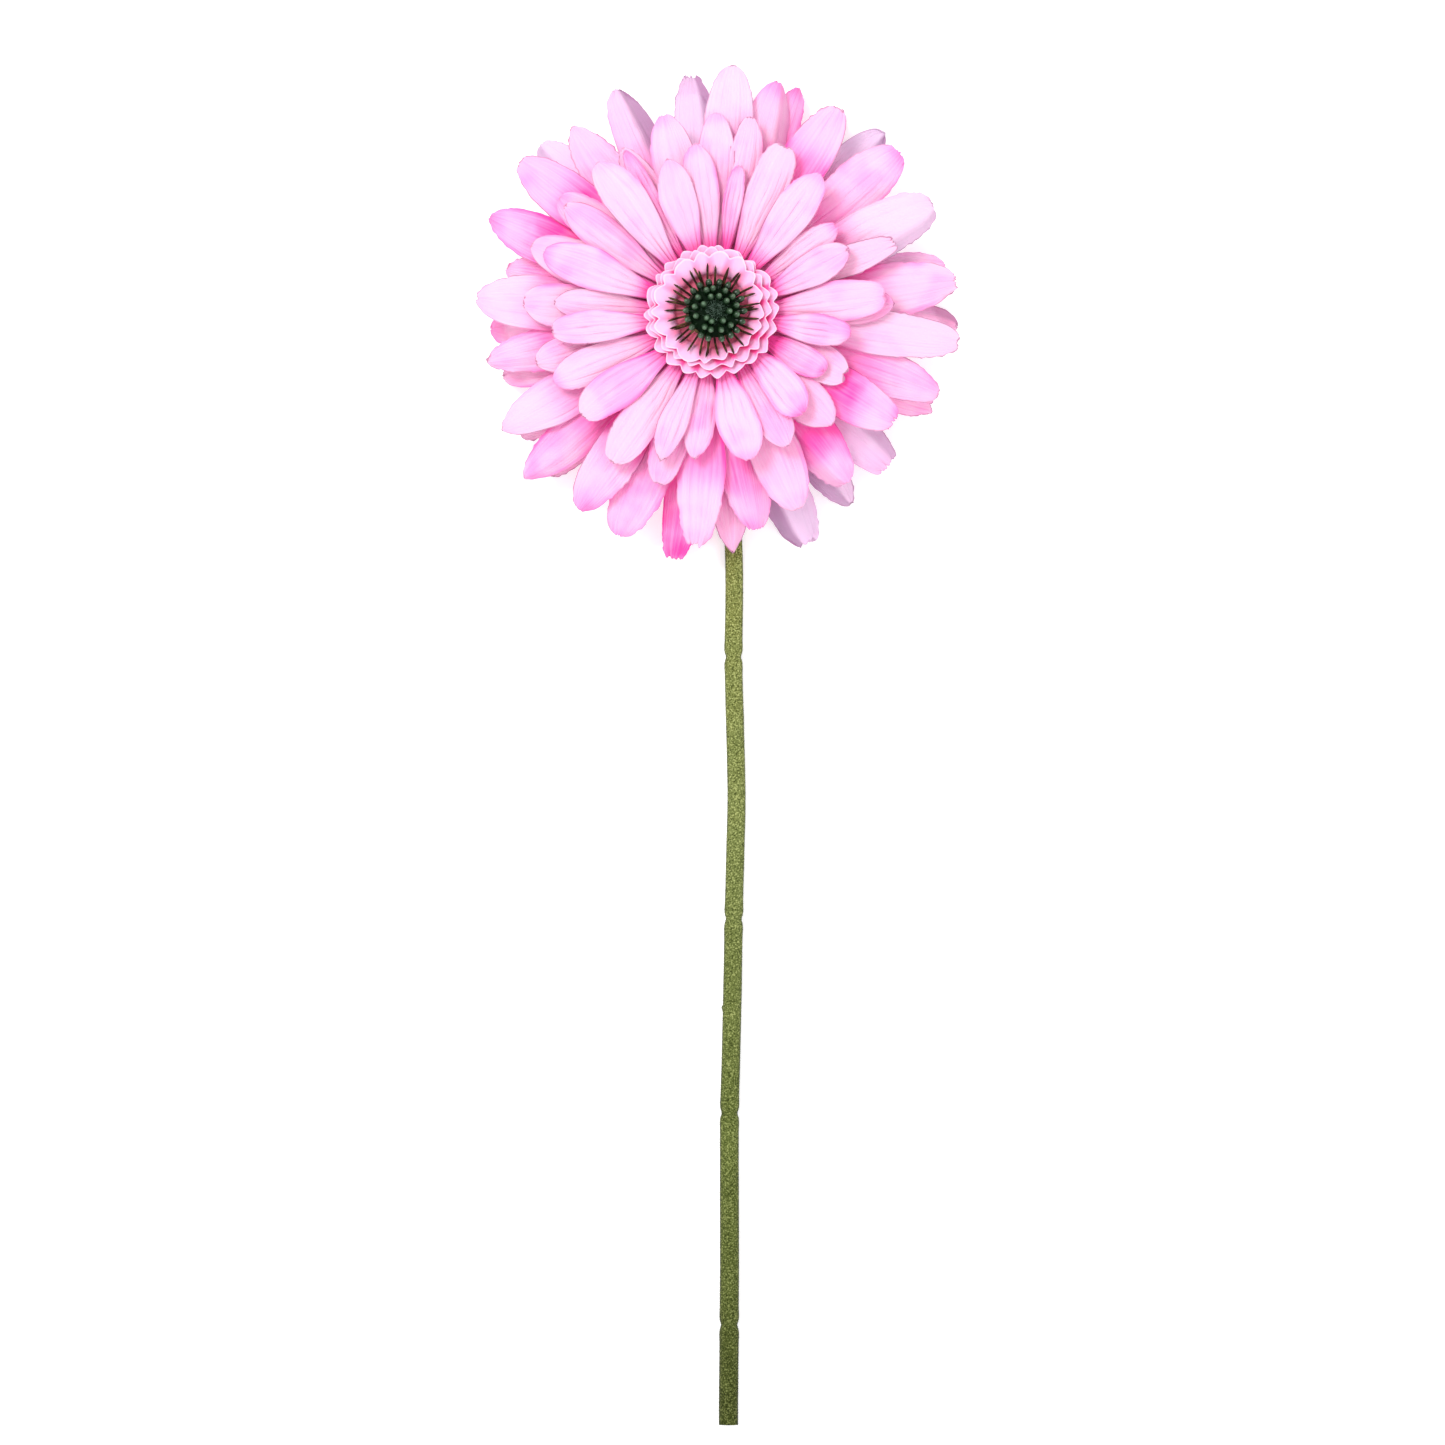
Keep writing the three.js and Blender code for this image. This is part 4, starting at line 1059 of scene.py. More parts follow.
def woven_cloth_group():
    """A fine plain weave along a piece of cloth; its map is in centimetres."""
    tree, given, output = new_tree(
        "woven cloth", "ShaderNodeTree",
        {
            "Cloth Map": ("NodeSocketVector", None),
            "Threads per cm": ("NodeSocketFloat", 28.0),
            "Unevenness": ("NodeSocketFloat", 0.5),
        },
        {"Height": "NodeSocketFloat"},
    )
    split = add(tree, "ShaderNodeSeparateXYZ", None, {"Vector": given["Cloth Map"]})
    turns = calc(tree, "MULTIPLY", given["Threads per cm"], 2 * math.pi)
    warp = calc(tree, "SINE", calc(tree, "MULTIPLY", split.outputs["X"], turns))
    weft = calc(tree, "SINE", calc(tree, "MULTIPLY", split.outputs["Y"], turns))
    over_under = calc(tree, "MULTIPLY_ADD", calc(tree, "MULTIPLY", warp, weft), 0.25, 0.5)
    slub = cloud(tree, given["Cloth Map"], 9.0, 2.0)
    height = calc(tree, "MULTIPLY_ADD", slub, given["Unevenness"], over_under)
    tree.links.new(height, output.inputs["Height"])
    return tree


def moulded_plastic_group():
    """Soft mottling and a faint grain of moulded plastic."""
    tree, given, output = new_tree(
        "moulded plastic", "ShaderNodeTree",
        {
            "Place": ("NodeSocketVector", None),
            "Colour": ("NodeSocketColor", (0.1, 0.1, 0.1, 1.0)),
            "Worn Colour": ("NodeSocketColor", (0.3, 0.3, 0.3, 1.0)),
            "Mottle Scale": ("NodeSocketFloat", 900.0),
            "Wear": ("NodeSocketFloat", 0.3),
        },
        {"Color": "NodeSocketColor", "Height": "NodeSocketFloat", "Roughness": "NodeSocketFloat"},
    )
    mottle = cloud(tree, given["Place"], given["Mottle Scale"], 3.0)
    worn = calc(tree, "MULTIPLY", ramp_between(tree, mottle, 0.45, 0.75), given["Wear"])
    tree.links.new(blend(tree, worn, given["Colour"], given["Worn Colour"]), output.inputs["Color"])
    fine = cloud(tree, given["Place"], calc(tree, "MULTIPLY", given["Mottle Scale"], 4.0), 2.0)
    tree.links.new(fine, output.inputs["Height"])
    tree.links.new(calc(tree, "MULTIPLY_ADD", mottle, 0.25, 0.28), output.inputs["Roughness"])
    return tree


def petal_finish(name, dye_and_shade_group, weave_group, dye, root_dye_and_shade, cloud_dye, lilac):
    """Satin-like pressed polyester."""
    material, tree, shader = new_finish(name, Specular_IOR_Level=0.28, **CLOTH_LOOK)
    dyed = group(tree, dye_and_shade_group, {
        "Place": object_place(tree), "Along": kept_value(tree, "along"),
        "Across": kept_value(tree, "across"), "Depth": kept_value(tree, "depth"),
        "Tone": kept_value(tree, "tone"),
        "Petal": kept_value(tree, "petal_seed"), "Dye": dye, "Root Dye and Shade": root_dye_and_shade,
        "Cloud Dye": cloud_dye, "From Edge": kept_value(tree, "from_edge"),
        "Turned Down Shade": kept_value(tree, "turned"), "Lilac": (*lilac, 1.0),
    })
    tree.links.new(dyed["Color"], shader.inputs["Base Color"])
    roughness = calc(tree, "MULTIPLY_ADD", dyed["Streaks"], 0.2, 0.52)
    tree.links.new(roughness, shader.inputs["Roughness"])
    cloth_map = add(tree, "ShaderNodeUVMap", {"uv_map": "cloth"}).outputs[0]
    weave = group(tree, weave_group, {"Cloth Map": cloth_map})["Height"]
    height = calc(tree, "MULTIPLY_ADD", weave, 0.35, dyed["Streaks"])
    height = calc(tree, "MULTIPLY_ADD", dyed["Pressed"], -0.45, height)
    bump(tree, shader, height, 0.00032, 0.8)
    return material


def collar_finish(name, weave_group, floor, wall, reach):
    """The same cloth, deep pink at the floor of the ring and pale at its ruffled edge, with painted
    highlights on the ruffles' crests and painted shade in their valleys.
    """
    material, tree, shader = new_finish(name, Specular_IOR_Level=0.25, **CLOTH_LOOK)
    along = kept_value(tree, "along")
    place = object_place(tree)
    drift = calc(tree, "SUBTRACT", cloud(tree, place, 260.0, 2.0), 0.5)
    amount = calc(tree, "MULTIPLY_ADD", drift, 0.16, along)
    # painted light: the ruffles' outward crests are paler and their valleys deeper pink
    amount = calc(tree, "MULTIPLY_ADD", kept_value(tree, "crest"), 0.16, amount)
    pink = colour_steps(tree, amount, [
        (0.3, floor), (reach, wall), (reach + 0.1, (0.90, 0.31, 0.56)),
        (0.98, (0.88, 0.43, 0.67)),
    ])
    pink = blend(tree, ramp_between(tree, along, 0.98, 1.0), pink, (0.87, 0.59, 0.78, 1.0))
    tree.links.new(pink, shader.inputs["Base Color"])
    tree.links.new(calc(tree, "MULTIPLY_ADD", drift, 0.2, 0.6), shader.inputs["Roughness"])
    cloth_map = vectors(tree, "SCALE", place, scale=100.0)
    weave = group(tree, weave_group, {"Cloth Map": cloth_map, "Unevenness": 0.8})["Height"]
    bump(tree, shader, weave, 0.0001, 0.6)
    return material


def plastic_finish(name, plastic_group, colour, worn, wear, mottle=900.0, top=None, depth=0.00008,
                   **numbers):
    """Moulded plastic; `top` is (attribute, upper colour, tip colour) of a paler top, painted as a
    highlight.
    """
    material, tree, shader = new_finish(name, **numbers)
    moulded = group(tree, plastic_group, {
        "Place": object_place(tree), "Colour": (*colour, 1.0), "Worn Colour": (*worn, 1.0),
        "Mottle Scale": mottle, "Wear": wear,
    })
    shade = moulded["Color"]
    if top:
        # painted highlight: the upper part and the tip are paler, where the light catches them
        height = kept_value(tree, top[0])
        shade = blend(tree, ramp_between(tree, height, 0.15, 0.6), shade, (*top[1], 1.0))
        shade = blend(tree, ramp_between(tree, height, 0.7, 0.83), shade, (*top[2], 1.0))
    tree.links.new(shade, shader.inputs["Base Color"])
    tree.links.new(moulded["Roughness"], shader.inputs["Roughness"])
    bump(tree, shader, moulded["Height"], depth, 0.5)
    return material


def flock_finish():
    """Olive flock: yellower under the bloom, darker towards the cut end, speckled all over, with
    painted shade on the lower sides of its round.
    """
    material, tree, shader = new_finish(
        "stem flock", Roughness=0.95, Sheen_Weight=0.08, Sheen_Roughness=0.4,
        Specular_IOR_Level=0.05,
    )
    place = object_place(tree)
    split = add(tree, "ShaderNodeSeparateXYZ", None, {"Vector": place})
    low = HUB.y + STEM_LINE[0][1] * MM
    share = add(tree, "ShaderNodeMapRange", None,
                {"Value": split.outputs["Y"], "From Min": low, "From Max": HUB.y - 0.05})
    broad = cloud(tree, place, 160.0, 2.0)
    share = calc(tree, "MULTIPLY_ADD", calc(tree, "SUBTRACT", broad, 0.5), 0.35,
                 share.outputs["Result"], clamped=True)
    olive = colour_steps(tree, share, [
        (0.0, (0.042, 0.053, 0.0105)), (0.35, (0.09, 0.113, 0.026)), (0.7, (0.142, 0.168, 0.049)),
        (1.0, (0.18, 0.194, 0.052)),
    ])
    # painted shade: the flock darkens to half its colour down the sleeve's sides and underside
    rounded = ramp_between(tree, split.outputs["Z"], (STEM_HEIGHT + 0.2 * STEM_RADIUS) * MM,
                           (STEM_HEIGHT + 0.75 * STEM_RADIUS) * MM, 0.5, 1.0)
    olive = blend(tree, 1.0, olive, xyz(tree, rounded, rounded, rounded), "MULTIPLY")
    speckle = cloud(tree, place, 2600.0, 2.0)
    pale = ramp_between(tree, speckle, 0.52, 0.66)
    dark = ramp_between(tree, speckle, 0.34, 0.46, 1.0, 0.0)
    darkened = calc(tree, "MULTIPLY", dark, 0.85)
    olive = blend(tree, darkened, olive, (0.26, 0.28, 0.22, 1.0), "MULTIPLY")
    paled = calc(tree, "MULTIPLY", calc(tree, "MULTIPLY_ADD", share, 0.55, 0.38), pale)
    olive = blend(tree, paled, olive, (0.30, 0.32, 0.12, 1.0), "SCREEN")
    tree.links.new(olive, shader.inputs["Base Color"])
    bump(tree, shader, speckle, 0.0004, 0.6)
    return material


def wire_finish():
    """Galvanised steel wire, dull with a few brighter scuffs."""
    material, tree, shader = new_finish("galvanised wire", Metallic=1.0)
    spangle = cloud(tree, object_place(tree), 1500.0, 3.0)
    steel = colour_steps(tree, spangle, [(0.3, (0.33, 0.34, 0.35)), (0.7, (0.60, 0.61, 0.62))])
    tree.links.new(steel, shader.inputs["Base Color"])
    tree.links.new(calc(tree, "MULTIPLY_ADD", spangle, 0.3, 0.25), shader.inputs["Roughness"])
    bump(tree, shader, spangle, 0.00005, 0.4)
    return material


def floor_finish():
    """A matt white table, lit a little from below."""
    material, tree, shader = new_finish(
        "white table", Roughness=0.8, Specular_IOR_Level=0.1, Emission_Strength=0.42,
        Emission_Color=(1.0, 1.0, 1.0, 1.0),
    )
    grain = cloud(tree, object_place(tree), 30.0, 3.0)
    white = colour_steps(tree, grain, [(0.3, (0.77, 0.77, 0.77)), (0.7, (0.80, 0.80, 0.80))])
    tree.links.new(white, shader.inputs["Base Color"])
    return material


# ---- petals -----------------------------------------------------------------------------

PETAL_ROWS = [PETAL_WIDEST * i / BODY_ROWS for i in range(BODY_ROWS)]
PETAL_ROWS += [
    lerp(PETAL_WIDEST, 1, math.sin(math.pi / 2 * i / TIP_ROWS)) for i in range(TIP_ROWS + 1)
]


def petal_half_width(t, width, blunt, tip):
    """Half the width of a petal at t, from 0 at its root to 1 at its tip."""
    if t < PETAL_WIDEST:
        rise = math.sin(math.pi / 2 * t / PETAL_WIDEST)
        return width / 2 * lerp(PETAL_ROOT_WIDTH, 1, rise ** 2.1)
    u = (t - PETAL_WIDEST) / (1 - PETAL_WIDEST)
    return width / 2 * lerp(tip, 1, (1 - min(u, 1) ** 1.9) ** blunt)


def dye_and_shade_depth(r, seed, outer):
    """How deep in the bloom a place is, from 0 outside to 1 at the root, for its dye and painted
    shade.
    """
    if outer:
        start = OUTER_DYE_AND_SHADE_FADE_START + 8 * rough(seed, 3.1)
        hidden = 0.5 * smooth_step(*OUTER_DYE_AND_SHADE_RISE, r) + 0.5
        strength = clamp(0.6 + rough(seed, 5.7), 0, 0.75)
        return hidden * strength * (1 - smooth_step(start, start + OUTER_DYE_AND_SHADE_FADE_LENGTH, r))
    return 1 - smooth_step(*ROOT_DYE_AND_SHADE_FADE, r + 1.5 * rough(seed, 3.1))


def petal_points(heights, petal, seed, layer, is_outer, folded, torn):
    """The middle surface of one petal, row by row, with what its dye needs to know.

    Every rough(seed, number) is a chance value of this one petal, and the number only
    keeps it apart from the others."""
    angle, reach, width, lift, sweep, cup, lean, tone = petal
    blunt = (0.6 if is_outer else 0.52) + 0.3 * rough(seed, 4.4)
    shoulder = 0.7 * rough(seed, 6.1)  # one shoulder of the tip is squarer
    tip = torn or PETAL_TIP_WIDTH * clamp(1 + 2 * rough(seed, 21.3), 0.2, 1.8)
    tear = 3.2 * FRAY if torn else FRAY
    notch = 1.3 * clamp(2 * rough(seed, 23.9))
    skew = TIP_SKEW * rough(seed, 2.2)
    loose = 1.0 if is_outer else 0.25
    roll = TIP_ROLL * loose * rough(seed, 8.3)
    nod = 1.2 * loose * rough(seed, 12.7)
    away = -1 if -45 < (angle + 180) % 360 - 180 < 135 else 1
    fold_share = FOLD_SHARES.get(int(seed / FOLD_SEED_BAND), LEAST_FOLD_SHARE)
    plain_drop = FOLD * fold_share * clamp(0.4 + rough(seed, 16.2))
    side_down, crease, drop = folded or (away, PLAIN_CREASE, plain_drop)
    length = reach - PETAL_ROOT_RADIUS
    points, along, across, depth, from_edge, turned, cloth = ([] for _ in range(7))
    for t in PETAL_ROWS:
        r = lerp(PETAL_ROOT_RADIUS, reach, t)
        axis = math.radians(angle + sweep * (1 - t) ** 2)
        halves = {
            side: petal_half_width(t, width, blunt * (1 + side * shoulder), tip)
            for side in (-1, 1)
        }
        spine = smooth_at(heights, r / 10 - 1) + lift * t ** 3
        opened = math.sin(math.pi * clamp(0.8 * t))
        ragged = (OUTER_FRAY if is_outer else FRAY) * smooth_step(0.5, 0.85, t)
        at_tip = smooth_step(0.88, 1, t)
        channel = ROOT_CHANNEL * math.exp(-((t / 0.2) ** 2)) * smooth_step(0, 0.06, t)
        for i in range(PETAL_COLUMNS + 1):
            u = 2 * i / PETAL_COLUMNS - 1
            side = 1 if u > 0 else -1
            wide = 1 + 0.1 * rough(t * 4.1, seed, side * 2.0) * smooth_step(0.1, 0.5, t)
            out = u * halves[side] * wide + skew * t ** 3
            if abs(u) == 1:
                patchy = clamp(0.55 + 1.6 * rough(t * 3.3, seed, side * 7.0))
                out += side * ragged * patchy * rough(t * 41, seed, side * 5.0)
            torn_back = 0.45 * u * u - tear * rough(u * 5, seed, 9.0) + notch * (1 - abs(u))
            reached = r - at_tip * torn_back
            z = spine + opened * (cup * u * u + lean * u)
            z += channel * u * u + layer * opened
            z += (roll * u + nod * (1 - 0.5 * u * u)) * t ** 3 * (lift > HANGING_LIFT)
            hangs = max(side_down * u - crease, 0) / (1 - crease)
            z -= drop * hangs * smooth_step(0.3, 0.65, t)
            # painted shade goes on the turned-down side of a sharply folded petal, kept as its
            # 'turned' value
            shaded_fold_side = smooth_step(crease - 0.03, crease + 0.25, side_down * u) * bool(folded)
            z += EDGE_WAVE * opened * abs(u) ** 3 * rough(t * 4.2, seed, side * 3.0)
            z = max(z, LOWEST_CLOTH)
            points.append((
                reached * math.cos(axis) - out * math.sin(axis),
                reached * math.sin(axis) + out * math.cos(axis), z,
            ))
            along.append(t)
            across.append(u)
            depth.append(dye_and_shade_depth(r, seed, is_outer))
            from_edge.append(min((1 - abs(u)) * halves[side], (1 - t) * length))
            turned.append(shaded_fold_side * smooth_step(0.3, 0.6, t) * clamp(drop / 5))
            cloth.append((out / 10, r / 10))
    tones = [tone] * len(points)
    seeds = [seed] * len(points)
    return points, along, across, depth, tones, seeds, from_edge, turned, cloth


def petal_sheet_mesh(number, sheet):
    """A whole sheet: the disc in the middle and its petals, before the press."""
    height = FIRST_SHEET_HEIGHT + number * SHEET_PITCH
    points, faces, cloth = [], [], []
    along, across, depth, tones, seeds, from_edge, turned = ([] for _ in range(7))
    rings = [PEG_HOLE_RADIUS, 4, 7.5, DISC_RADIUS]
    for radius in rings:
        for i in range(DISC_SIDES):
            turn = 2 * math.pi * i / DISC_SIDES
            points.append((radius * math.cos(turn), radius * math.sin(turn), height - 0.02))
            cloth.append((points[-1][0] / 10, points[-1][1] / 10))
    for j in range(len(rings) - 1):
        for i in range(DISC_SIDES):
            a = j * DISC_SIDES + i
            b = j * DISC_SIDES + (i + 1) % DISC_SIDES
            faces.append((a, a + DISC_SIDES, b + DISC_SIDES, b))
    for values in (along, across, tones, seeds, turned):
        values.extend([0.0] * len(points))
    depth.extend([0.5] * len(points))
    from_edge.extend([5.0] * len(points))
    width = PETAL_COLUMNS + 1
    for k, petal in enumerate(sheet["petals"]):
        seed = number * SHEET_SEED_STEP + k * PETAL_SEED_STEP
        layer = 0.1 if k % 2 else -0.1
        first = len(points)
        place = (number, k)
        made = petal_points(
            sheet["heights"], petal, seed, layer, number < OUTER_SHEETS, FOLDED.get(place),
            TORN.get(place),
        )
        whole = (points, along, across, depth, tones, seeds, from_edge, turned, cloth)
        for kept, new in zip(whole, made):
            kept.extend(new)
        for j in range(len(PETAL_ROWS) - 1):
            for i in range(PETAL_COLUMNS):
                a = first + j * width + i
                faces.append((a, a + width, a + width + 1, a + 1))
    mesh = mesh_from(sheet["name"], points, faces, along=along, across=across, depth=depth,
                     tone=tones, petal_seed=seeds, from_edge=from_edge, turned=turned)
    cloth_map = mesh.uv_layers.new(name="cloth")
    flat = [value for loop in mesh.loops for value in cloth[loop.vertex_index]]
    cloth_map.data.foreach_set("uv", flat)
    return mesh


def make_petal_sheets(tree, front, back):
    for number, sheet in enumerate(SHEETS):
        first = number == 0
        is_outer = number < OUTER_SHEETS
        piece = grow(
            sheet["name"] + "_cloth", tree,
            {
                "Line Depth": 0.00016 if is_outer else 0.00026,
                "Crumple Height": 0.0012 if is_outer else 0.0006,
                "Crumple Scale": 190.0,
                "Fabric": back if first else front,
            },
            petal_sheet_mesh(number, sheet), CLOTH * MM,
        )
        dress(piece, "back_petal_fabric" if first else "petal_fabric", sheet["name"])


# ---- collars ----------------------------------------------------------------------------


def make_collars(tree, outer_cloth, inner_cloth):
    for number, collar in enumerate(COLLARS):
        height = FIRST_SHEET_HEIGHT + (len(SHEETS) + number) * SHEET_PITCH
        piece = grow(
            collar["name"] + "_cloth", tree,
            {
                "Centre": to_frame(0, 0, height),
                "Hole Radius": PEG_HOLE_RADIUS * MM,
                "Floor Radius": COLLAR_FLOOR_RADIUS * MM,
                "Bend Radius": collar["bend"][0] * MM,
                "Bend Rise": collar["bend"][1] * MM,
                "Edge Radius": collar["edge"][0] * MM,
                "Steep Edge Radius": collar["steep"] * MM,
                "Edge Rise": collar["edge"][1] * MM,
                "Waves": collar["waves"],
                "Ruffle Out": 0.0004,
                "Ruffle Up": 0.0004,
                "Lobe Depth": 0.12,
                "Steep Side": math.radians(COLLAR_STEEP_SIDE),
                "Seed": 2.0 + 4.7 * number,
                "Fabric": inner_cloth if number == 2 else outer_cloth,
            },
            wall=COLLAR_CLOTH * MM, crease=60,
        )
        dress(piece, "collar_fabric", collar["name"])


# ---- the flocked stem -------------------------------------------------------------------


def stem_points():
    """The corners of the stem's centre line, from the cut end up into the calyx."""
    points = [Vector((x, y, STEM_HEIGHT)) for x, y in STEM_LINE]
    for degrees in NECK_ANGLES:
        a = math.radians(degrees)
        points.append(Vector((
            0.25 * math.cos(a), NECK_BEND_RADIUS * (math.sin(a) - 1),
            STEM_HEIGHT + NECK_BEND_RADIUS * (1 - math.cos(a)),
        )))
    points.append(Vector((0, 0, STEM_TOP)))
    return points


def smooth_line(points, steps=24):
    """A centripetal curve through the points, sampled finely."""
    ghosts = [points[0] * 2 - points[1], *points, points[-1] * 2 - points[-2]]
    line = []
    for p0, p1, p2, p3 in zip(ghosts, ghosts[1:], ghosts[2:], ghosts[3:]):
        d0, d1, d2 = ((b - a).length ** 0.5 for a, b in ((p0, p1), (p1, p2), (p2, p3)))
        start = ((p1 - p0) / d0 - (p2 - p0) / (d0 + d1) + (p2 - p1) / d1) * d1
        end = ((p2 - p1) / d1 - (p3 - p1) / (d1 + d2) + (p3 - p2) / d2) * d1
        for i in range(steps):
            t = i / steps
            line.append(
                p1 * (2 * t ** 3 - 3 * t ** 2 + 1) + p2 * (3 * t ** 2 - 2 * t ** 3)
                + start * (t ** 3 - 2 * t ** 2 + t) + end * (t ** 3 - t ** 2)
            )
    return [*line, points[-1]]


def even_stations(line, step):
    """Points about a step apart along a line, both of its ends among them."""
    lengths = [0.0]
    for a, b in zip(line, line[1:]):
        lengths.append(lengths[-1] + (b - a).length)
    count = max(2, round(lengths[-1] / step))
    stations, j = [], 0
    for i in range(count + 1):
        target = lengths[-1] * i / count
        while j < len(line) - 2 and lengths[j + 1] < target:
            j += 1
        share = (target - lengths[j]) / (lengths[j + 1] - lengths[j])
        stations.append(line[j].lerp(line[j + 1], clamp(share)))
    return stations


def stem_ring(stations, k, radius_at, sides):
    """A ring of points round one station of the stem."""
    before = stations[max(k - 1, 0)]
    after = stations[min(k + 1, len(stations) - 1)]
    along = (after - before).normalized()
    across = (Vector((1, 0, 0)) - along * along.x).normalized()
    up = across.cross(along)
    centre = stations[k]
    ring = []
    for i in range(sides):
        a = 2 * math.pi * i / sides
        point = centre + (across * math.cos(a) + up * math.sin(a)) * radius_at(centre, a)
        ring.append((point.x, point.y, max(point.z, UNDERSIDE_FLAT)))
    return ring


def stem_radius(centre, a):
    """The sleeve's outside, with its pinched rings and one small nub on its left side."""
    share = clamp((centre.y + 60) / (STEM_LINE[0][1] + 60))
    radius = lerp(STEM_RADIUS, STEM_FOOT_RADIUS, share)
    radius += 0.04 * rough(centre.y * 0.12, math.cos(a), math.sin(a))
    for place in PINCH_PLACES:
        away = centre.y - place
        radius -= PINCH_DEPTH * math.exp(-((away / 0.8) ** 2))
        radius += 0.07 * math.exp(-(((abs(away) - 2.4) / 1.2) ** 2))
    nub_turn = (a - math.pi * 0.98) / 0.16
    radius += 0.45 * math.exp(-(((centre.y - NUB_PLACE) / 0.45) ** 2) - nub_turn ** 2)
    return radius


def make_stem_sleeve(tree, flock):
    line = smooth_line(stem_points())
    outer = even_stations(line, STEM_STEP)
    inner = even_stations(line, STEM_STEP * 4)
    points, faces, coated = [], [], []
    for k in range(len(outer)):
        ring = stem_ring(outer, k, stem_radius, STEM_SIDES)
        points.extend(ring)
        coated.extend(1.0 if z > BARE_BELOW else 0.0 for _, _, z in ring)
    bore = len(points)
    bore_sides = STEM_SIDES // 2
    for k in range(len(inner)):
        ring = stem_ring(inner, k, lambda centre, a: STEM_BORE, bore_sides)
        points.extend(ring)
        coated.extend([0.0] * bore_sides)
    for k in range(len(outer) - 1):
        for i in range(STEM_SIDES):
            a = k * STEM_SIDES + i
            b = k * STEM_SIDES + (i + 1) % STEM_SIDES
            faces.append((a, a + STEM_SIDES, b + STEM_SIDES, b))
    for k in range(len(inner) - 1):
        for i in range(bore_sides):
            a = bore + k * bore_sides + i
            b = bore + k * bore_sides + (i + 1) % bore_sides
            faces.append((a, b, b + bore_sides, a + bore_sides))
    # The two ends of the sleeve's wall; its bore has half as many sides as its outside.
    for outer_start, inner_start, turned in (
        (0, bore, False),
        ((len(outer) - 1) * STEM_SIDES, bore + (len(inner) - 1) * bore_sides, True),
    ):
        for i in range(bore_sides):
            a = outer_start + 2 * i
            b = outer_start + 2 * i + 1
            c = outer_start + (2 * i + 2) % STEM_SIDES
            p = inner_start + i
            q = inner_start + (i + 1) % bore_sides
            face = (a, b, c, q, p)
            faces.append(face[::-1] if turned else face)
    mesh = mesh_from("stem_sleeve", points, faces, coated=coated)
    piece = grow(
        "stem_flocked_sleeve", tree,
        {
            "Fibres per Area": FLOCK_PER_SQUARE_MM * 1e6,
            "Fibre Length": FLOCK_LENGTH * MM,
            "Fibre Radius": FLOCK_RADIUS * MM,
            "Tilt": 0.75,
            "Coat": flock,
        },
        mesh,
    )
    dress(piece, "stem_flock", "stem_sleeve")


# ---- calyx, stamens and button ----------------------------------------------------------


def make_calyx(plastic):
    """The moulded cup, ribbed down its sides, with its ring of sepals under the petals."""
    cup = lathe("calyx", CALYX_PROFILE, 96, rib=CALYX_RIB, ribs=SEPAL_COUNT * 2)
    points = [
        ((v.co.x - HUB.x) / MM, (v.co.y - HUB.y) / MM, v.co.z / MM) for v in cup.vertices
    ]
    faces = [tuple(face.vertices) for face in cup.polygons]
    width = SEPAL_COLUMNS + 1
    # Each sepal is an upper skin, a lower skin and a rim that joins them.
    for i in range(SEPAL_COUNT):
        turn = 2 * math.pi * i / SEPAL_COUNT
        for side in (1, -1):
            first = len(points)
            for j in range(SEPAL_ROWS + 1):
                t = j / SEPAL_ROWS
                r = lerp(SEPAL_ROOT, SEPAL_REACH, t)
                half = SEPAL_HALF_WIDTH * (1 - t ** 2.2) ** 0.8 + 0.05
                for k in range(width):
                    u = 2 * k / SEPAL_COLUMNS - 1
                    thick = SEPAL_HALF_THICKNESS * (1 - 0.75 * u * u) * (1 - 0.5 * t) + 0.02
                    groove = SEPAL_GROOVE * math.exp(-((u / 0.2) ** 2)) * (side < 0)
                    z = SEPAL_HEIGHT - 0.1 * t + side * thick - groove
                    y = u * half
                    points.append((
                        r * math.cos(turn) - y * math.sin(turn),
                        r * math.sin(turn) + y * math.cos(turn), z,
                    ))
            for j in range(SEPAL_ROWS):
                for k in range(SEPAL_COLUMNS):
                    a = first + j * width + k
                    face = (a, a + width, a + width + 1, a + 1)
                    faces.append(face if side > 0 else face[::-1])
        grid = (SEPAL_ROWS + 1) * width
        low = len(points) - grid
        high = low - grid
        rim = list(range(width))
        rim += [j * width + SEPAL_COLUMNS for j in range(1, SEPAL_ROWS + 1)]
        rim += [SEPAL_ROWS * width + k for k in range(SEPAL_COLUMNS - 1, -1, -1)]
        rim += [j * width for j in range(SEPAL_ROWS - 1, 0, -1)]
        for a, b in zip(rim, rim[1:] + rim[:1]):
            faces.append((high + a, high + b, low + b, low + a))
    bpy.data.meshes.remove(cup)
    piece = put("calyx_cup_and_sepals", mesh_from("calyx", points, faces), plastic)
    bake(piece, 45)
    dress(piece, "calyx_plastic", "calyx")


def make_stamens(tree, plastic):
    ring = lathe("stamen_ring", STAMEN_RING_PROFILE, 48)
    dress(put("stamen_base_ring", ring, plastic), "stamen_plastic", "stamen_ring")
    middle = to_frame(0, 0, STAMEN_MIDDLE)
    for number, chosen in enumerate(STAMEN_SETS):
        piece = grow(
            f"stamen_bristles_{number + 1}", tree,
            {**chosen, "Centre": middle, "Plastic": plastic},
            crease=80,
        )
        dress(piece, "stamen_plastic", "stamen_ring")


def lean_with_button(piece):
    """Tips a piece of the button over its base, which isn't pressed on quite level."""
    towards = math.radians(BUTTON_LEAN_TOWARDS)
    hinge = Vector((-math.sin(towards), math.cos(towards), 0))
    base = Matrix.Translation(to_frame(BUTTON_OFFSET, 0, BUTTON_BOTTOM + 1))
    turn = Matrix.Rotation(math.radians(BUTTON_LEAN), 4, hinge)
    piece.data.transform(base @ turn @ base.inverted())
    return piece


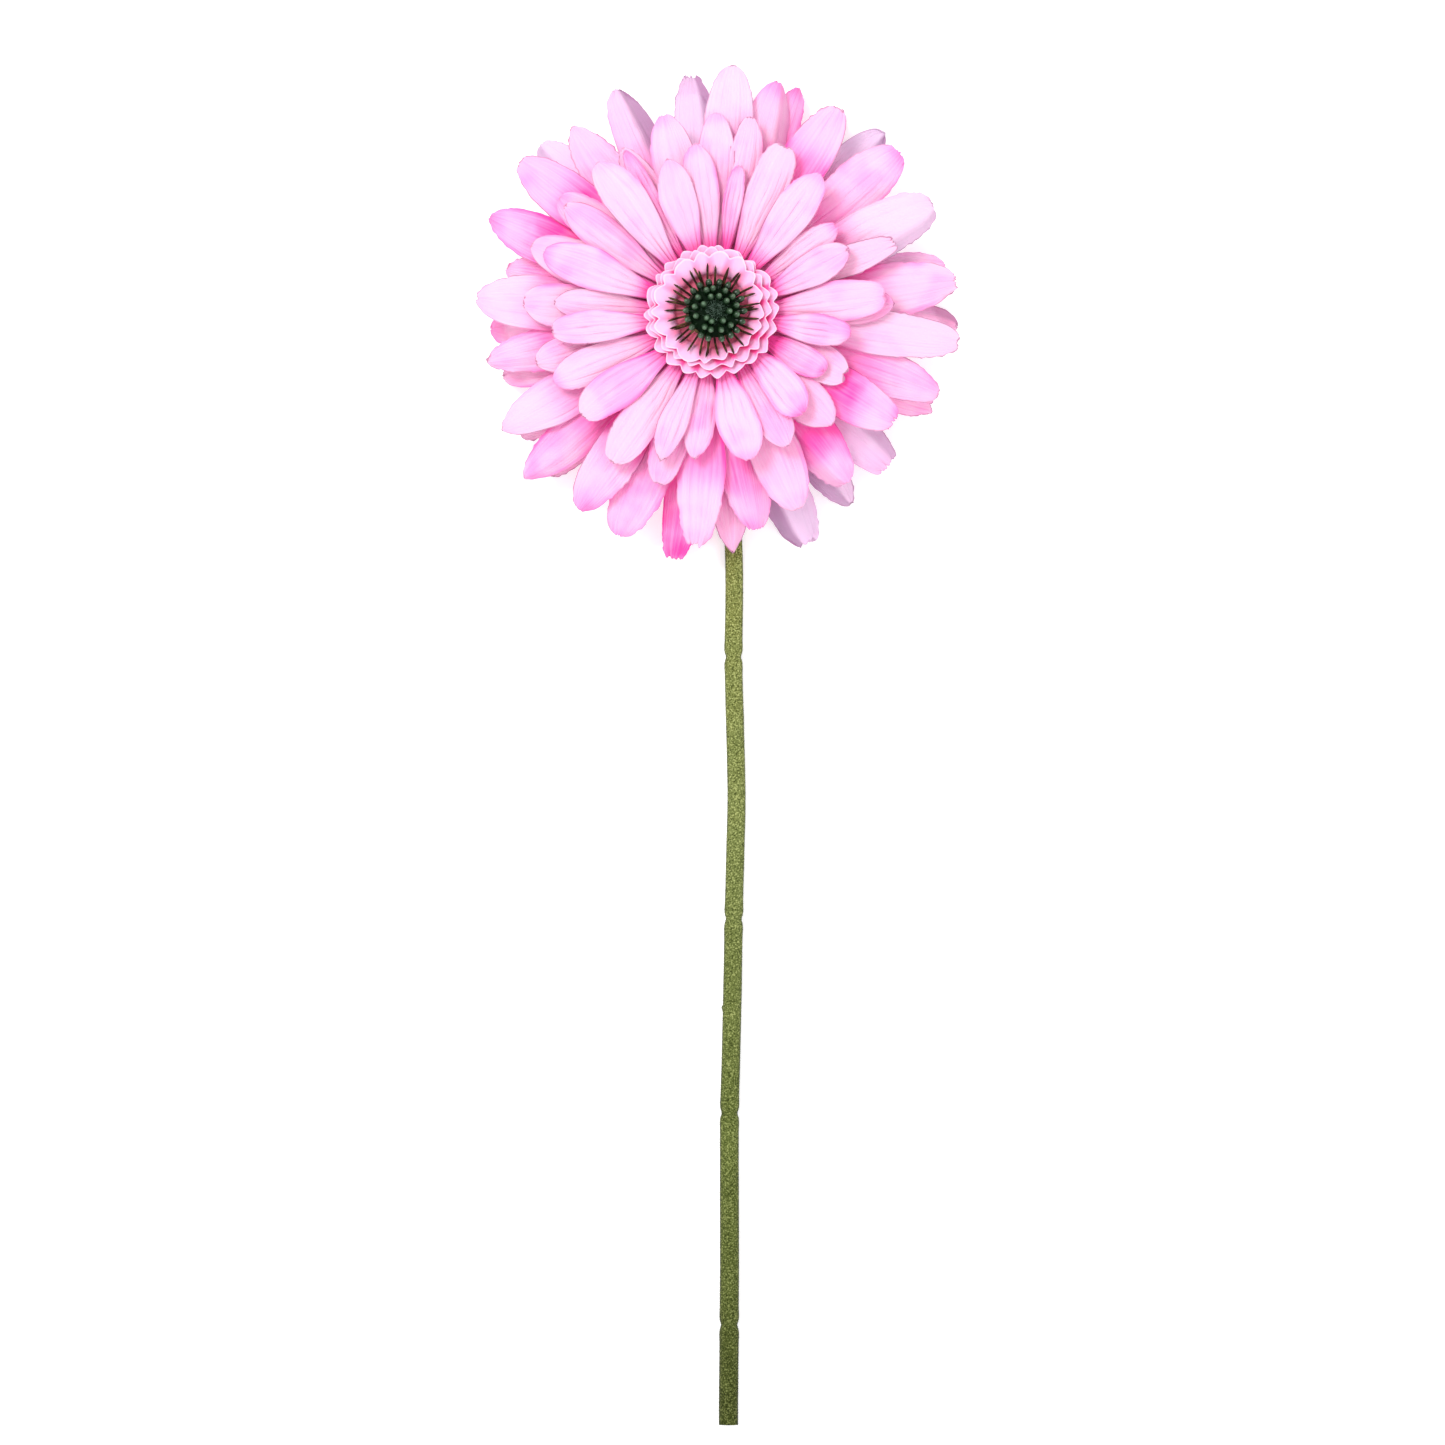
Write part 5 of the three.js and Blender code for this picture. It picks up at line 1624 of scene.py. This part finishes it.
def make_button(knob_tree, fibre_tree, plastic, knob_plastic, fuzz):
    """The domed middle on its peg, three rings of knobs, and the fuzz between them."""
    dome = [(max(r - 0.35, 0), BUTTON_BOTTOM + h * 0.86) for r, h in BUTTON_PROFILE]
    body = bake(put("button_dome", lathe("dome", dome, 64, middle=BUTTON_OFFSET), plastic))
    dress(lean_with_button(body), "button_plastic", "centre_button")
    peg = lathe(
        "peg",
        [(0, PEG_BOTTOM), (PEG_RADIUS - 0.2, PEG_BOTTOM), (PEG_RADIUS, PEG_BOTTOM + 0.3),
         (PEG_RADIUS, BUTTON_BOTTOM + 0.4), (0, BUTTON_BOTTOM + 0.4)],
        32,
    )
    dress(bake(put("button_peg", peg, plastic)), "button_plastic", "centre_button")
    for number, ring in enumerate(KNOB_RINGS):
        piece = grow(
            f"button_knobs_{number + 1}", knob_tree,
            {
                "Centre": to_frame(BUTTON_OFFSET, 0, BUTTON_BOTTOM + ring["height"]),
                "Count": ring["count"],
                "Ring Radius": ring["radius"] * MM,
                "Tilt": math.radians(ring["tilt"]),
                "Knob Radius": KNOB_RADIUS * MM,
                "Knob Length": KNOB_LENGTH * MM,
                "Start Turn": 2 * math.pi * number * 0.37 / ring["count"],
                "Seed": 5 + number,
                "Plastic": knob_plastic,
            },
            crease=70,
        )
        dress(lean_with_button(piece), "button_plastic", "centre_button")
    points = [(BUTTON_OFFSET, 0, BUTTON_BOTTOM + FUZZ_MIDDLE)]
    faces = []
    coated = [1.0]
    for radius, height in FUZZ_RINGS:
        for i in range(FUZZ_SIDES):
            a = 2 * math.pi * i / FUZZ_SIDES
            points.append((
                BUTTON_OFFSET + radius * math.cos(a), radius * math.sin(a),
                BUTTON_BOTTOM + height,
            ))
            coated.append(1.0 if radius < 2 else 0.2 * (radius < 3))
    for i in range(FUZZ_SIDES):
        n = (i + 1) % FUZZ_SIDES
        faces.append((0, 1 + i, 1 + n))
        for inner in (1, 1 + FUZZ_SIDES):
            outer = inner + FUZZ_SIDES
            faces.append((inner + i, outer + i, outer + n, inner + n))
    piece = grow(
        "button_fuzz", fibre_tree,
        {
            "Fibres per Area": 14e6, "Fibre Length": 1.4 * MM, "Fibre Radius": 0.032 * MM,
            "Tilt": 1.35, "Keep Surface": False, "Seed": 17, "Coat": fuzz,
        },
        mesh_from("fuzz_seat", points, faces, coated=coated),
    )
    dress(lean_with_button(piece), "button_plastic", "centre_button")


# ---- floor, light and camera ------------------------------------------------------------


def make_stage(white):
    half = TABLE_HALF_SIZE
    floor = bpy.data.meshes.new("white_table")
    corners = [(-half, -half, 0), (half, -half, 0), (half, half, 0), (-half, half, 0)]
    floor.from_pydata(corners, [], [(0, 1, 2, 3)])
    put("white_table", floor, white)


def soft_light(name, place, size, power, colour):
    data = bpy.data.lights.new(name, "AREA")
    data.shape = "SQUARE"
    data.size = size
    data.energy = power
    data.color = colour
    lamp = bpy.data.objects.new(name, data)
    lamp.location = place
    lamp.rotation_mode = "QUATERNION"
    lamp.rotation_quaternion = (Vector(place) - HUB).to_track_quat("Z", "Y")
    lamp.visible_camera = False
    bpy.context.scene.collection.objects.link(lamp)


def make_light():
    world = bpy.data.worlds.new("pale room")
    world.use_nodes = True
    sky = world.node_tree.nodes["Background"]
    sky.inputs["Color"].default_value = (0.99, 0.985, 1.0, 1.0)
    sky.inputs["Strength"].default_value = 1.06
    bpy.context.scene.world = world
    soft_light(
        "key softbox", place=(-0.6, 0.7, 1.5), size=0.45, power=18.5, colour=(1.0, 0.99, 0.97),
    )
    soft_light(
        "fill card", place=(1.3, -0.7, 1.0), size=1.2, power=7.0, colour=(0.97, 0.98, 1.0),
    )
    bpy.context.scene.view_settings.view_transform = "Standard"


def make_camera():
    data = bpy.data.cameras.new("overhead camera")
    data.sensor_width = 36.0
    data.lens = data.sensor_width * CAMERA_HEIGHT / FRAME_WIDTH
    data.clip_end = 50.0
    camera = bpy.data.objects.new("overhead camera", data)
    x, y = CAMERA_AIM
    camera.location = (x * MM, y * MM, (STEM_HEIGHT + CAMERA_HEIGHT) * MM)
    bpy.context.scene.collection.objects.link(camera)
    bpy.context.scene.camera = camera


# ---- the whole stem ---------------------------------------------------------------------

dye = petal_dye_and_shade_group()
weave = woven_cloth_group()
plastic = moulded_plastic_group()

front_cloth = petal_finish(
    "petal cloth", dye, weave, dye=0.22, root_dye_and_shade=0.68, cloud_dye=0.26, lilac=(0.70, 0.54, 0.70),
)
back_cloth = petal_finish(
    "back petal cloth", dye, weave, dye=0.24, root_dye_and_shade=0.5, cloud_dye=0.28,
    lilac=(0.69, 0.51, 0.71),
)
outer_collar = collar_finish(
    "outer collar cloth", weave, (0.88, 0.06, 0.24), (0.92, 0.08, 0.32), reach=0.8,
)
# the inner collar's cloth is salmon, and lighter than the outer collars' cloth as painted light in
# the shaded cup under the button
inner_collar = collar_finish(
    "inner collar cloth", weave, (0.80, 0.14, 0.24), (0.90, 0.22, 0.40), reach=0.74,
)
green_calyx = plastic_finish(
    "calyx green plastic", plastic, (0.052, 0.092, 0.0208), (0.088, 0.136, 0.036), 0.5,
)
dark_button = plastic_finish(
    "button dark green plastic", plastic, (0.0021, 0.0077, 0.0028), (0.0056, 0.014, 0.0049), 0.6,
    Specular_IOR_Level=0.03,
)
# the knobs' paler tops and tips are a painted highlight
knob_button = plastic_finish(
    "knob dark green plastic", plastic, (0.0028, 0.0112, 0.0035), (0.0084, 0.021, 0.007), 0.6,
    top=("knob_top", (0.012, 0.038, 0.013), (0.055, 0.115, 0.058)),
    Coat_Weight=0.8, Coat_Roughness=0.2, Specular_IOR_Level=0.06,
)
fuzz_fibre = plastic_finish(
    "button grey fuzz", plastic, (0.063, 0.117, 0.081), (0.216, 0.306, 0.252), 0.9,
)
bristle_brown = plastic_finish(
    "bristle brown plastic", plastic, (0.028, 0.013, 0.007), (0.17, 0.11, 0.04), 0.9,
    mottle=500.0, Specular_IOR_Level=0.3,
)
stem_flock = flock_finish()

fibre_coat = fibre_coat_tree()
make_petal_sheets(pressed_petals_tree(), front_cloth, back_cloth)
make_collars(ruffled_collar_tree(), outer_collar, inner_collar)
make_stem_sleeve(fibre_coat, stem_flock)
make_calyx(green_calyx)
make_stamens(stamens_tree(), bristle_brown)
make_button(knob_ring_tree(), fibre_coat, dark_button, knob_button, fuzz_fibre)

stem_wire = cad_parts["stem_wire"]
stem_wire.data.materials.clear()
stem_wire.data.materials.append(wire_finish())

make_stage(floor_finish())
make_light()
make_camera()
